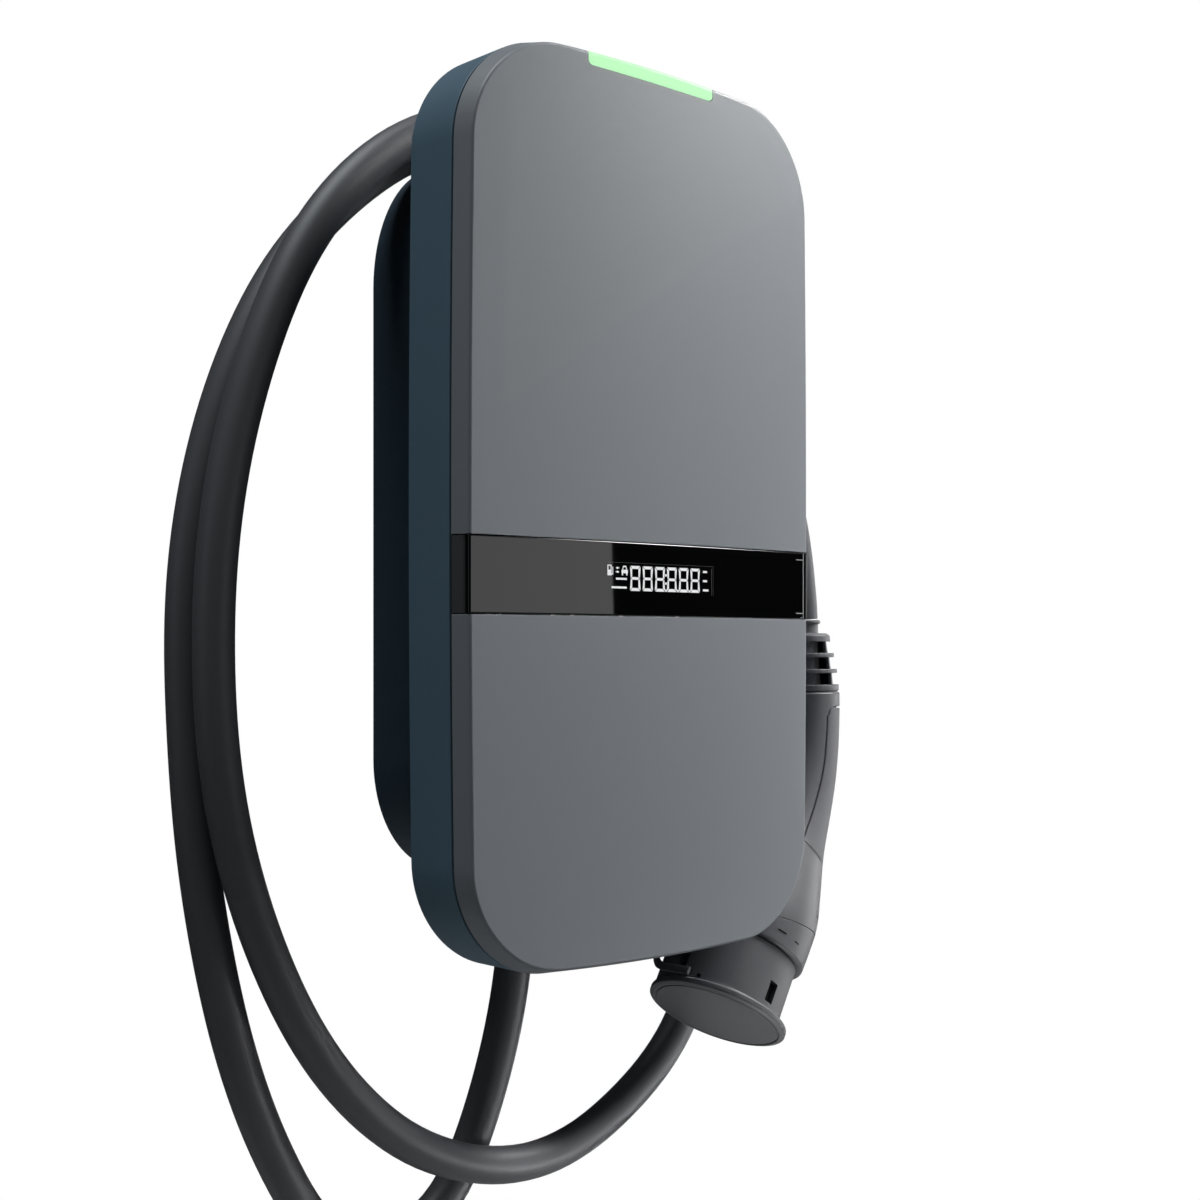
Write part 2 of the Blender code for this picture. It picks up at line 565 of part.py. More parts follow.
def radius(t):
    for (t0, r0), (t1, r1) in zip(RADII, RADII[1:]):
        if t <= t1 + 1e-9:
            k = (t - t0) / (t1 - t0)
            return r0 + (r1 - r0) * k
    return RADII[-1][1]


def section(t, a, dr=0.0):
    """Point on the handle: a is measured from the outer side to the front.
    Towards the nose the sections lean over to meet the collar's slanted edge."""
    w = -tangent(t)
    u = (Vector((1, 0, 0)) - w * w.x).normalized()
    v = w.cross(u)
    if v.y > 0:
        v = -v
    r = radius(t) + dr
    k = min(1.0, max(0.0, (t - 0.62) / 0.38))
    lean = TILT * k * k * (3 - 2 * k)
    return centre(t) + (u * cos(a) + v * sin(a)) * r + w * (lean * r * cos(a))


T0, T1, T2, T3 = 0.044, 0.645, 0.67, 0.93   # the grip inlay's ends and its chamfer
RECESS = 1.8


def half(t):
    """Half-width of the grip inlay round the handle: wide under the palm, then
    a narrow tail down the convex side."""
    if t < T1:
        return radians(98 + 9 * max(0.0, (t - 0.25) / (T1 - 0.25)) ** 1.3)
    if t < T2:
        return radians(107 - 49 * (t - T1) / (T2 - T1))
    return radians(58 + 4 * (t - T2) / (T3 - T2))


ts = [0.0, T0 - 0.006, T0, 0.14, 0.24, 0.34, 0.45, 0.56, T1, T2, 0.76, 0.84, T3, T3 + 0.006,
      1.0]
n_in, n_out = 18, 13
eps = radians(0.9)


def angles(t):
    h = half(t)
    return ([-h + 2 * h * i / n_in for i in range(n_in + 1)]
            + [h + eps + (2 * pi - 2 * h - 2 * eps) * i / n_out for i in range(n_out + 1)])


bm = bmesh.new()
rows = []
for t in ts:
    row = []
    for i, a in enumerate(angles(t)):
        inside = i <= n_in and T0 - 1e-6 <= t <= T3 + 1e-6
        row.append(bm.verts.new(section(t, a, -RECESS if inside else 0.0) * MM))
    rows.append(row)
for a, b in zip(rows, rows[1:]):
    bridge(bm, a, b)
bm.faces.new(rows[0])
bm.faces.new(rows[-1])
finish("connector_handle", bm, m_handle, 50)

tg = [T0 + 0.004, 0.14, 0.24, 0.34, 0.45, 0.56, T1, T2, 0.76, 0.84, T3 - 0.004]


def inlay(t):
    h = half(t) - radians(1.5)
    return [-h + 2 * h * i / n_in for i in range(n_in + 1)]


bm = bmesh.new()
outer = [[bm.verts.new(section(t, a, 0.0) * MM) for a in inlay(t)] for t in tg]
inner = [[bm.verts.new(section(t, a, -RECESS + 0.5) * MM) for a in inlay(t)] for t in tg]
m, n = len(tg), n_in + 1
for i in range(m - 1):
    for j in range(n - 1):
        bm.faces.new((outer[i][j], outer[i][j + 1], outer[i + 1][j + 1], outer[i + 1][j]))
        bm.faces.new((inner[i][j], inner[i + 1][j], inner[i + 1][j + 1], inner[i][j + 1]))
for i in range(m - 1):
    for j in (0, n - 1):
        bm.faces.new((outer[i][j], outer[i + 1][j], inner[i + 1][j], inner[i][j]))
for j in range(n - 1):
    for i in (0, m - 1):
        bm.faces.new((outer[i][j], inner[i][j], inner[i][j + 1], outer[i][j + 1]))
finish("grip_inlay", bm, m_grip, 50)

# strain relief: a tapered core carrying four rings, in a thin tapered shell
# that is open at the front and at the back
relief = turned("strain_relief",
                [(0, -43.2), (8.8, -43.2), (10.0, -43.7), (10.0, -44.9), (8.8, -45.4), (8.8, -50.4),
                 (13.4, -50.4), (15.0, -51.8), (15.4, -54.8), (8.9, -54.8),
                 (9.2, -61.0), (17.3, -61.0), (17.3, -63.2), (9.4, -63.2), (9.8, -69.6),
                 (19.0, -69.6), (19.0, -71.6), (10.0, -71.6), (10.5, -77.9), (19.9, -77.9),
                 (19.9, -81.7), (0, -81.7)],
                (HANDLE_X, HANDLE_Y, 0), (0, 0, 1), 28, m_handle)
tube = turned("add_shell", [(13.0, -53.8), (16.9, -78.9), (15.4, -78.9), (11.5, -53.8)],
              (HANDLE_X, HANDLE_Y, 0), (0, 0, 1), 28, m_handle, loop=True)
for i, sy in enumerate((-1, 1)):
    lo = (HANDLE_X - 5.9, HANDLE_Y + (7.0 if sy > 0 else -22.0), -77.9)
    hi = (HANDLE_X + 5.9, HANDLE_Y + (22.0 if sy > 0 else -7.0), -54.8)
    cut(tube, box("cut_slot_%d" % i, lo, hi, m_handle))
cut(relief, tube, "UNION")

# ---------------------------------------------------------------- plug holder
# an arm from the back box's side ending in a snap clip round the handle
CLIP_Z0, CLIP_Z1 = -100.0, -86.0
CLIP_X = HANDLE_X - 0.4
r0, r1 = 22.2, 25.0
arc = []
A0, A1 = 180 - 150, 180 + 38       # degrees from +X, anticlockwise seen from above
nA = 16
for i in range(nA + 1):
    a = radians(A0 + (A1 - A0) * i / nA)
    arc.append((CLIP_X + r1 * cos(a), HANDLE_Y + r1 * sin(a)))
inner_arc = []
for i in range(nA + 1):
    a = radians(A1 + (A0 - A1) * i / nA)
    inner_arc.append((CLIP_X + r0 * cos(a), HANDLE_Y + r0 * sin(a)))
bm = bmesh.new()
pts = arc + inner_arc
lo = [bm.verts.new((x * MM, y * MM, CLIP_Z0 * MM)) for x, y in pts]
hi = [bm.verts.new((x * MM, y * MM, CLIP_Z1 * MM)) for x, y in pts]
bridge(bm, lo, hi)
nn = len(pts)
for i in range(nA):
    a, b, c, d = i, i + 1, nn - 2 - i, nn - 1 - i
    bm.faces.new((lo[a], lo[b], lo[c], lo[d]))
    bm.faces.new((hi[a], hi[b], hi[c], hi[d]))
holder = finish("plug_holder", bm, m_dark, 40)
side = BOX_HW
arm = prism("add_arm", [(side + GAP, -66), (side + 3.5, -66), (side + 3.5, -54), (side + 14, -47),
                        (HANDLE_X - 23.0, -47), (HANDLE_X - 23.0, -39), (side + 14, -39),
                        (side + 3.5, -32), (side + 3.5, -20), (side + GAP, -20)],
            2, CLIP_Z0 + 1.0, CLIP_Z1 - 1.0, m_dark)
cut(holder, arm, "UNION")

# ---------------------------------------------------------------- charging cable
R_ = CABLE_D / 2
EXIT_Z = BOTTOM - 32.8 - GAP
RELIEF_TOP = -43.2 + GAP
UTURN = [(-69.0 + 51.5 * cos(radians(a)), -14.6, -280.5 + 51.5 * sin(radians(a)))
         for a in (-40, -65, -90, -115, -142)]
ROUTE = [(GLAND_X, GLAND_Y, EXIT_Z), (-9.3, -33.6, -212), (-10.4, -31.0, -228), (-12.6, -26.5, -249),
         (-15.9, -21, -273), (-21.0, -16.8, -292)] + UTURN + [
    (-119.4, -15, -292.5), (-130.1, -15, -274), (-139.6, -15, -250.8),
    (-147.3, -15, -228.3), (-153.2, -15, -206.3), (-164, -15, -150), (-169, -15, -92),
    (-170, -15, -38), (-163, -15, 13), (-146, -15, 66), (-119, -15, 114), (-79.5, -15, 153.5),
    (-42, -15, 177.2), (0, -15, 182), (42, -14, 178.3), (82, -13, 154.5), (112, -12, 118),
    (132, -11, 72), (143, -10, 22), (148, -10, -32), (149, -10, -86), (148, -10, -140),
    (145, -10.5, -190), (136, -12.5, -236), (112, -15.5, -268), (70, -20, -292), (28, -28, -302.5),
    (-16, -34, -301), (-66, -33, -282.5), (-106.5, -32, -246), (-131.8, -32, -207),
    (-151.8, -32.3, -160), (-163.6, -32.6, -112), (-167.4, -32.7, -55), (-163.7, -32.7, -2),
    (-150.2, -32.7, 55),
    (-123.6, -32.7, 115.5), (-86, -32.7, 158.8), (-45, -32.9, 181.8), (-2, -33.4, 189.8),
    (42, -34.6, 185.6),
    (84, -37, 163), (118, -39.5, 128), (146.5, -42, 86), (166.5, -44.6, 38), (177.6, -46.8, -4),
    (HANDLE_X, HANDLE_Y, RELIEF_TOP)]


def smooth_route(pts, spacing):
    """Centripetal spline through the route's points, read at even spacing."""
    p = [Vector(q) for q in pts]
    start = Vector((GLAND_X, GLAND_Y, EXIT_Z + 24))
    end = Vector((HANDLE_X, HANDLE_Y, RELIEF_TOP - 30))
    p = [start] + p + [end]
    fine = []
    for i in range(1, len(p) - 2):
        q0, q1, q2, q3 = p[i - 1], p[i], p[i + 1], p[i + 2]
        t0 = 0.0
        t1 = t0 + sqrt((q1 - q0).length)
        t2 = t1 + sqrt((q2 - q1).length)
        t3 = t2 + sqrt((q3 - q2).length)
        for j in range(12):
            t = t1 + (t2 - t1) * j / 12
            a1 = q0 * ((t1 - t) / (t1 - t0)) + q1 * ((t - t0) / (t1 - t0))
            a2 = q1 * ((t2 - t) / (t2 - t1)) + q2 * ((t - t1) / (t2 - t1))
            a3 = q2 * ((t3 - t) / (t3 - t2)) + q3 * ((t - t2) / (t3 - t2))
            b1 = a1 * ((t2 - t) / (t2 - t0)) + a2 * ((t - t0) / (t2 - t0))
            b2 = a2 * ((t3 - t) / (t3 - t1)) + a3 * ((t - t1) / (t3 - t1))
            fine.append(b1 * ((t2 - t) / (t2 - t1)) + b2 * ((t - t1) / (t2 - t1)))
    fine.append(p[-2])
    run = [0.0]
    for a, b in zip(fine, fine[1:]):
        run.append(run[-1] + (b - a).length)
    count = int(run[-1] / spacing)
    out, k = [], 0
    for i in range(count + 1):
        s = run[-1] * i / count
        while k < len(run) - 2 and run[k + 1] < s:
            k += 1
        f = (s - run[k]) / max(run[k + 1] - run[k], 1e-9)
        out.append(fine[k].lerp(fine[k + 1], f))
    return out


pts = smooth_route(ROUTE, 34.0)
pts = [pts[0], pts[0] - Vector((0, 0, 8))] + pts[1:-1] + [pts[-1] + Vector((0, 0, 8)), pts[-1]]
cu = bpy.data.curves.new("charging_cable", "CURVE")
cu.dimensions = "3D"
cu.bevel_depth = R_ * MM
cu.bevel_resolution = 3
cu.use_fill_caps = True
sp = cu.splines.new("POLY")
sp.points.add(len(pts) - 1)
for q, v in zip(sp.points, pts):
    q.co = (v.x * MM, v.y * MM, v.z * MM, 1.0)
cable = bpy.data.objects.new("charging_cable", cu)
bpy.context.scene.collection.objects.link(cable)
cu.materials.append(m_rubber)
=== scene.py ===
import json
import bpy
import bmesh
from math import sin, cos, pi, radians, sqrt, atan2
from mathutils import Vector, Matrix, noise

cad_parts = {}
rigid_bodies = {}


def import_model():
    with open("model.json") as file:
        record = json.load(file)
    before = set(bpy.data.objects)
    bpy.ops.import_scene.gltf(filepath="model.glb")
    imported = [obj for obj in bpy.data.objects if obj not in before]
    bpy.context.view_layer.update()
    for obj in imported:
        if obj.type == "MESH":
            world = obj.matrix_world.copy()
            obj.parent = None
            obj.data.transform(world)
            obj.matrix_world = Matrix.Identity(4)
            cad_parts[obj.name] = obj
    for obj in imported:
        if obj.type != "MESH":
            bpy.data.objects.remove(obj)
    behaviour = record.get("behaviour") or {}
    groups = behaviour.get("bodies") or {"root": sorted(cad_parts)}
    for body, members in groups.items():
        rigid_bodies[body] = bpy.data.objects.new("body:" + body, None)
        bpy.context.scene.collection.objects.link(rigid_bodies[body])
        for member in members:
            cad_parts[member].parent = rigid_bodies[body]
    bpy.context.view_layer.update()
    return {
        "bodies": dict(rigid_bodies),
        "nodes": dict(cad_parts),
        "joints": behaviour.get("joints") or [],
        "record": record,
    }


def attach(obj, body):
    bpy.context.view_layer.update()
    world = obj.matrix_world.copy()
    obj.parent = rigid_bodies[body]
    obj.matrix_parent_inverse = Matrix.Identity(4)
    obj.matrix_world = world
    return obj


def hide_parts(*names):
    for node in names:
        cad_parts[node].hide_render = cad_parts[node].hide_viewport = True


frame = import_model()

MM = 0.001
N = frame["nodes"]

# ------------------------------------------------------------------ camera
cam_data = bpy.data.cameras.new("camera")
cam_data.lens = 51.0
cam_data.sensor_width = 36.0
cam_data.shift_y = 0.0385
cam_data.clip_start = 0.01
cam_data.dof.use_dof = False
cam = bpy.data.objects.new("camera", cam_data)
bpy.context.scene.collection.objects.link(cam)
cam.location = (-0.5202, -0.6496, -0.0573)
cam.rotation_euler = (radians(90.0), 0.0, radians(-42.6))
bpy.context.scene.camera = cam


# ------------------------------------------------------------------ node helpers
class Mat:
    """A small builder for procedural materials."""

    def __init__(self, name):
        self.m = bpy.data.materials.new(name)
        self.m.use_nodes = True
        self.t = self.m.node_tree
        self.b = self.t.nodes["Principled BSDF"]
        self.coord = self.t.nodes.new("ShaderNodeTexCoord")

    def node(self, kind, **kw):
        n = self.t.nodes.new(kind)
        for k, v in kw.items():
            if hasattr(n, k):
                setattr(n, k, v)
            else:
                n.inputs[k.replace("_", " ")].default_value = v
        return n

    def link(self, a, b):
        self.t.links.new(a, b)

    def noise(self, scale, detail=3.0, rough=0.55, stretch=None, seed=0.0):
        mp = self.node("ShaderNodeMapping")
        mp.inputs["Location"].default_value = (seed, seed * 1.7, -seed)
        if stretch:
            mp.inputs["Scale"].default_value = stretch
        self.link(self.coord.outputs["Object"], mp.inputs["Vector"])
        n = self.node("ShaderNodeTexNoise")
        n.inputs["Scale"].default_value = scale
        n.inputs["Detail"].default_value = detail
        n.inputs["Roughness"].default_value = rough
        self.link(mp.outputs["Vector"], n.inputs["Vector"])
        return n.outputs["Fac"]

    def ramp(self, fac, stops):
        r = self.node("ShaderNodeValToRGB")
        e = r.color_ramp.elements
        while len(e) > 1:
            e.remove(e[-1])
        for i, (p, c) in enumerate(stops):
            if i == 0:
                e[0].position, e[0].color = p, c
            else:
                x = e.new(p)
                x.color = c
        self.link(fac, r.inputs["Fac"])
        return r.outputs["Color"]

    def span(self, fac, lo, hi, a=0.3, b=0.7):
        r = self.node("ShaderNodeMapRange")
        r.inputs["From Min"].default_value = a
        r.inputs["From Max"].default_value = b
        r.inputs["To Min"].default_value = lo
        r.inputs["To Max"].default_value = hi
        self.link(fac, r.inputs["Value"])
        return r.outputs["Result"]

    def math(self, op, a, b=None):
        n = self.node("ShaderNodeMath", operation=op)
        for i, v in enumerate((a, b)):
            if v is None:
                continue
            if isinstance(v, (int, float)):
                n.inputs[i].default_value = v
            else:
                self.link(v, n.inputs[i])
        return n.outputs["Value"]

    def mix(self, fac, a, b):
        n = self.node("ShaderNodeMix", data_type="RGBA")
        for sock, v in ((n.inputs[0], fac), (n.inputs[6], a), (n.inputs[7], b)):
            if isinstance(v, (int, float)):
                sock.default_value = v
            elif isinstance(v, tuple):
                sock.default_value = v if len(v) == 4 else (*v, 1.0)
            else:
                self.link(v, sock)
        return n.outputs[2]

    def bump(self, height, distance, strength=1.0, before=None):
        n = self.node("ShaderNodeBump")
        n.inputs["Strength"].default_value = strength
        n.inputs["Distance"].default_value = distance
        self.link(height, n.inputs["Height"])
        if before is not None:
            self.link(before, n.inputs["Normal"])
        return n.outputs["Normal"]

    def set(self, **kw):
        names = {"base": "Base Color", "rough": "Roughness", "metal": "Metallic",
                 "normal": "Normal", "coat": "Coat Weight", "coat_rough": "Coat Roughness",
                 "ior": "IOR", "sheen": "Sheen Weight", "spec": "Specular IOR Level",
                 "emit": "Emission Color", "emit_strength": "Emission Strength"}
        for k, v in kw.items():
            s = self.b.inputs[names[k]]
            if isinstance(v, (int, float)):
                s.default_value = v
            elif isinstance(v, tuple):
                s.default_value = v if len(v) == 4 else (*v, 1.0)
            else:
                self.link(v, s)
        return self


def moulded(name, color, rough, grain=1800.0, depth=0.00004, tone=0.06, dust=0.04, spec=0.5,
            metal=0.0, coat=0.0, coat_rough=0.2, seed=0.0, sheen=0.0, gloss=0.02, wear=0.0,
            wear_color=None):
    """Moulded or painted surface: slight tone drift, a fine spark-eroded grain,
    uneven gloss where it has been handled, a little dust, and rubbed edges."""
    m = Mat(name)
    broad = m.noise(7.0, 3.0, 0.5, seed=seed)
    fine = m.noise(grain, 2.0, 0.5, seed=seed + 3)
    speck = m.noise(grain * 0.35, 3.0, 0.6, seed=seed + 7)
    dark = tuple(c * (1 - tone) for c in color)
    light = tuple(min(1.0, c * (1 + tone) + 0.001) for c in color)
    base = m.mix(m.span(broad, 0.0, 1.0), dark, light)
    base = m.mix(m.span(speck, 0.0, dust, 0.45, 0.75), base,
                 tuple(min(1.0, c * 1.5 + 0.015) for c in color))
    if wear:
        geo = m.node("ShaderNodeNewGeometry")
        edge = m.span(geo.outputs["Pointiness"], 0.0, 1.0, 0.53, 0.60)
        patch = m.span(m.noise(60.0, 4.0, 0.7, seed=seed + 9), 0.0, wear, 0.42, 0.68)
        base = m.mix(m.math("MULTIPLY", edge, patch), base,
                     wear_color or tuple(min(1.0, c * 2.2 + 0.03) for c in color))
    r = m.math("ADD", m.span(m.noise(11.0, 3.0, 0.5, seed=seed + 1), rough - gloss, rough + gloss),
               m.span(fine, -0.02, 0.02))
    n = m.bump(fine, depth, 0.8)
    m.set(base=base, rough=r, metal=metal, normal=n, spec=spec, coat=coat,
          coat_rough=coat_rough, sheen=sheen)
    return m.m


def brushed(name, color, rough, axis=(1, 40, 1), seed=0.0, depth=0.00002):
    """Sheet or turned metal: fine drawn lines, cloudy zinc, faint stains."""
    m = Mat(name)
    lines = m.noise(300.0, 4.0, 0.7, stretch=axis, seed=seed)
    cloud = m.noise(45.0, 5.0, 0.65, seed=seed + 2)
    base = m.mix(m.span(cloud, 0.0, 1.0), tuple(c * 0.82 for c in color), color)
    base = m.mix(m.span(lines, 0.0, 0.35), base, tuple(min(1.0, c * 1.15) for c in color))
    r = m.math("ADD", m.span(cloud, rough - 0.06, rough + 0.08), m.span(lines, -0.05, 0.05))
    m.set(base=base, rough=r, metal=1.0, normal=m.bump(lines, depth, 0.6))
    return m.m


def laminate(name, color, copper):
    """Solder-masked board: copper tracks and pads show as a paler pattern."""
    m = Mat(name)
    mp = m.node("ShaderNodeMapping")
    m.link(m.coord.outputs["Object"], mp.inputs["Vector"])
    br = m.t.nodes.new("ShaderNodeTexBrick")
    br.inputs["Scale"].default_value = 95.0
    br.inputs["Mortar Size"].default_value = 0.012
    br.inputs["Mortar Smooth"].default_value = 0.1
    br.offset = 0.37
    br.inputs["Color1"].default_value = (0, 0, 0, 1)
    br.inputs["Color2"].default_value = (0, 0, 0, 1)
    br.inputs["Mortar"].default_value = (1, 1, 1, 1)
    sw = m.node("ShaderNodeSeparateXYZ")
    m.link(mp.outputs["Vector"], sw.inputs["Vector"])
    cb = m.node("ShaderNodeCombineXYZ")
    m.link(sw.outputs["X"], cb.inputs["X"])
    m.link(sw.outputs["Z"], cb.inputs["Y"])
    m.link(cb.outputs["Vector"], br.inputs["Vector"])
    vo = m.t.nodes.new("ShaderNodeTexVoronoi")
    vo.inputs["Scale"].default_value = 420.0
    m.link(cb.outputs["Vector"], vo.inputs["Vector"])
    pads = m.span(vo.outputs["Distance"], 1.0, 0.0, 0.08, 0.16)
    cloud = m.noise(60.0, 4.0, 0.6)
    base = m.mix(m.span(cloud, 0.0, 1.0), tuple(c * 0.85 for c in color), color)
    base = m.mix(m.math("MULTIPLY", br.outputs["Color"], 0.55), base, copper)
    base = m.mix(m.math("MULTIPLY", pads, 0.5), base, (0.55, 0.50, 0.38))
    m.set(base=base, rough=m.span(cloud, 0.26, 0.36), normal=m.bump(br.outputs["Color"], 0.00003, 0.5),
          spec=0.5)
    return m.m


def give(mat, *names):
    for n in names:
        ob = N[n] if isinstance(n, str) else n
        ob.data.materials.clear()
        ob.data.materials.append(mat)


MAT = {}
MAT["cover"] = moulded("cover_paint", (0.196, 0.212, 0.232), 0.46, 2600, 0.00001, 0.012, 0.012, gloss=0.012)
MAT["housing"] = moulded("housing_plastic", (0.085, 0.148, 0.200), 0.52, 1500, 0.00004, 0.03, 0.03, wear=0.25)
# back box base is set darker than the housing's to match the box where it sits in shade behind the housing: painted
# shade
MAT["box"] = moulded("back_box_plastic", (0.024, 0.048, 0.072), 0.56, 1300, 0.00005, 0.05, 0.04, wear=0.2)
MAT["black"] = moulded("band_black", (0.007, 0.007, 0.0075), 0.34, 2000, 0.00002, 0.05, 0.02)
MAT["glass"] = moulded("window_gloss", (0.0008, 0.0008, 0.0009), 0.02, 3000, 0.0000005, 0.05, 0.0,
                       gloss=0.004)
MAT["seal"] = moulded("seal_rubber", (0.006, 0.006, 0.006), 0.8, 1200, 0.00005, 0.1, 0.05, 0.3)
MAT["pcb"] = laminate("circuit_board", (0.012, 0.075, 0.040), (0.03, 0.14, 0.06))
MAT["steel"] = brushed("zinc_steel", (0.62, 0.63, 0.64), 0.34)
MAT["screw"] = brushed("screw_steel", (0.50, 0.50, 0.50), 0.28, (1, 1, 12), 4.0)
MAT["mod_grey"] = moulded("module_grey", (0.36, 0.37, 0.38), 0.5, 1500, 0.00004, 0.04, 0.05, wear=0.2)
MAT["mod_dark"] = moulded("module_dark", (0.030, 0.031, 0.033), 0.5, 1500, 0.00005, 0.06, 0.05, wear=0.3)
MAT["cable"] = moulded("cable_rubber", (0.082, 0.085, 0.093), 0.50, 700, 0.00005, 0.07, 0.06, 0.5)
MAT["cap"] = moulded("cap_rubber", (0.104, 0.105, 0.113), 0.52, 1400, 0.00004, 0.05, 0.05)
MAT["handle"] = moulded("connector_plastic", (0.120, 0.121, 0.130), 0.46, 1600, 0.00004, 0.04, 0.05, wear=0.2)
MAT["grip"] = moulded("grip_rubber", (0.116, 0.117, 0.128), 0.60, 900, 0.00009, 0.05, 0.06)
MAT["silver"] = brushed("contact_silver", (0.78, 0.75, 0.69), 0.22, (1, 1, 20), 8.0)
# near-black finish for dark joints and marks; inside the dust cap it also serves as painted shade
MAT["dark_line"] = moulded("joint_line_and_painted_shade", (0.003, 0.003, 0.0035), 0.8, 1500, 0.00002, spec=0.1)
MAT["chip"] = moulded("chip_epoxy", (0.012, 0.012, 0.013), 0.42, 2500, 0.00003, 0.1, 0.06)
MAT["cream"] = moulded("connector_nylon", (0.62, 0.58, 0.48), 0.45, 1500, 0.00003, 0.05, 0.04)
MAT["can"] = brushed("capacitor_can", (0.60, 0.61, 0.63), 0.30, (1, 30, 1), 11.0)

light = Mat("light_lens")
glow = light.span(light.noise(30.0, 3.0), 0.0, 1.0)
light.set(base=light.mix(glow, (0.01, 0.03, 0.01), (0.012, 0.035, 0.012)), rough=0.35, spec=0.12,
          emit=light.mix(glow, (0.50, 0.95, 0.515), (0.515, 0.97, 0.53)), emit_strength=0.97)
MAT["light"] = light.m

ink = Mat("display_segments")
lit = ink.span(ink.noise(500.0, 2.0), 0.0, 1.0)
ink.set(base=(0.05, 0.05, 0.05), rough=0.5,
        emit=ink.mix(lit, (0.66, 0.67, 0.68), (0.78, 0.79, 0.80)), emit_strength=1.0)
MAT["ink"] = ink.m

MAT["hair"] = moulded("window_hairline", (0.30, 0.31, 0.32), 0.4, 1500, 0.00001, 0.05, 0.02)

BY_SLOT = {"cover_paint": "cover", "housing_plastic": "housing", "back_box_plastic": "box",
           "band_black": "black", "window_black": "glass", "light_lens": "light",
           "seal_rubber": "seal", "circuit_board": "pcb", "zinc_steel": "steel",
           "module_grey": "mod_grey", "module_dark": "mod_dark", "cable_rubber": "cable",
           "cap_rubber": "cap", "connector_plastic": "handle", "grip_rubber": "grip",
           "contact_silver": "silver"}
for sp in frame["record"]["subparts"]:
    give(MAT[BY_SLOT[sp["material_slot"]]], sp["node"])
give(MAT["screw"], *[n for n in N if "screw" in n])
RIDES = {"upper_cover": "upper_cover_body", "status_light_lens": "upper_cover_body",
         "lower_cover": "lower_cover_body", "dust_cap": "dust_cap_body",
         "cap_strap": "dust_cap_body"}

# ------------------------------------------------------------------ dimensions (mm)
DEPTH, BOW = 123.3, 4.4
FRONT_HW, FRONT_HH, FRONT_R = 100.4, 189.7, 43.5
SEAM_HW, SEAM_HH, SEAM_R = 102.6, 191.9, 45.7
SIDE_BULGE, TOP_BULGE = 2.2, 3.2
Y_FRONT, Y_COVER_REAR, Y_HOUSING_FRONT, Y_HOUSING_REAR = -DEPTH, -109.9, -108.7, -80.8
WALL_T, GAP = 2.5, 0.3
BOX_HW, BOX_TOP, BOX_BOTTOM = 66.4, 169.8, -163.2
BOX_RX, BOX_RZ_TOP, BOX_RZ_BOTTOM = 40.4, 62.2, 53.7
WEB_Y0, WEB_Y1 = -4.4, -7.0
BAND_TOP, BAND_BOTTOM, BAND_GAP = -12.5, -44.6, 0.45
BAR_HALF, BAR_HEIGHT, BAR_X = 37.5, 6.4, -4.5
GLAND_X, GLAND_Y, SUPPLY_X = -9.0, -34.0, 28.0
CABLE_D = 17.3
HANDLE_X, HANDLE_Y, HANDLE_TOP, HANDLE_KNEE = 181.3, -47.5, -82.0, -140.0
NOSE_TIP, NOSE_UP, SEAM_TILT = (98.0, -63.0, -242.1), (79.0, 15.5, 111.0), 13.4
FINE = 2


# ------------------------------------------------------------------ mesh helpers
def piece(name, bm, mat, angle=35.0, bevel=0.0, seg=2, weighted=True, limit=40.0, recalc=True):
    if recalc:
        bmesh.ops.recalc_face_normals(bm, faces=bm.faces[:])
    me = bpy.data.meshes.new(name)
    bm.to_mesh(me)
    bm.free()
    me.materials.append(mat)
    ob = bpy.data.objects.new(name, me)
    bpy.context.scene.collection.objects.link(ob)
    me.shade_smooth()
    if not bevel:
        me.set_sharp_from_angle(angle=radians(angle))
    else:
        m = ob.modifiers.new("edges", "BEVEL")
        m.width = bevel * MM
        m.segments = seg
        m.limit_method = "ANGLE"
        m.angle_limit = radians(limit)
        m.harden_normals = False
    if weighted:
        w = ob.modifiers.new("normals", "WEIGHTED_NORMAL")
        w.mode = "FACE_AREA"
        w.weight = 50
        w.keep_sharp = True
    return ob


def stands_for(ob, *nodes):
    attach(ob, RIDES.get(nodes[0], "root"))
    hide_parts(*nodes)
    return ob


def extra(ob, body="root"):
    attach(ob, body)
    return ob


def outline(hw, hh, r, side=0.0, top=0.0, nc=24, ns=24, nt=14):
    pts = []
    corners = [(hw - r, hh - r, 0), (-(hw - r), hh - r, 90),
               (-(hw - r), -(hh - r), 180), (hw - r, -(hh - r), 270)]
    for cx, cz, a0 in corners:
        for k in range(nc + 1):
            t = radians(a0 + 90.0 * k / nc)
            pts.append((cx + r * cos(t), cz + r * sin(t)))
        if a0 in (0, 180):
            s = 1 if a0 == 0 else -1
            for k in range(1, nt):
                pts.append((s * (hw - r) * (1 - 2 * k / nt), s * hh))
        else:
            s = -1 if a0 == 90 else 1
            for k in range(1, ns):
                pts.append((s * hw, -s * (hh - r) * (1 - 2 * k / ns)))
    return [(x * (1 + side / hw * (1 - (z / hh) ** 2)),
             z * (1 + top / hh * (1 - (x / hw) ** 2))) for x, z in pts]


def ring(bm, pts, y):
    return [bm.verts.new((x * MM, y * MM, z * MM)) for x, z in pts]


def bridge(bm, a, b):
    n = len(a)
    for i in range(n):
        j = (i + 1) % n
        bm.faces.new((a[i], a[j], b[j], b[i]))


def shell(bm, levels, loop=False, cap0=True, cap1=True):
    rings = [ring(bm, p, y) for p, y in levels]
    for a, b in zip(rings, rings[1:]):
        bridge(bm, a, b)
    if loop:
        bridge(bm, rings[-1], rings[0])
    else:
        if cap0:
            bm.faces.new(rings[0])
        if cap1:
            bm.faces.new(rings[-1])
    return rings


def fro(d):
    return outline(FRONT_HW - d, FRONT_HH - d, FRONT_R - d, SIDE_BULGE, TOP_BULGE)


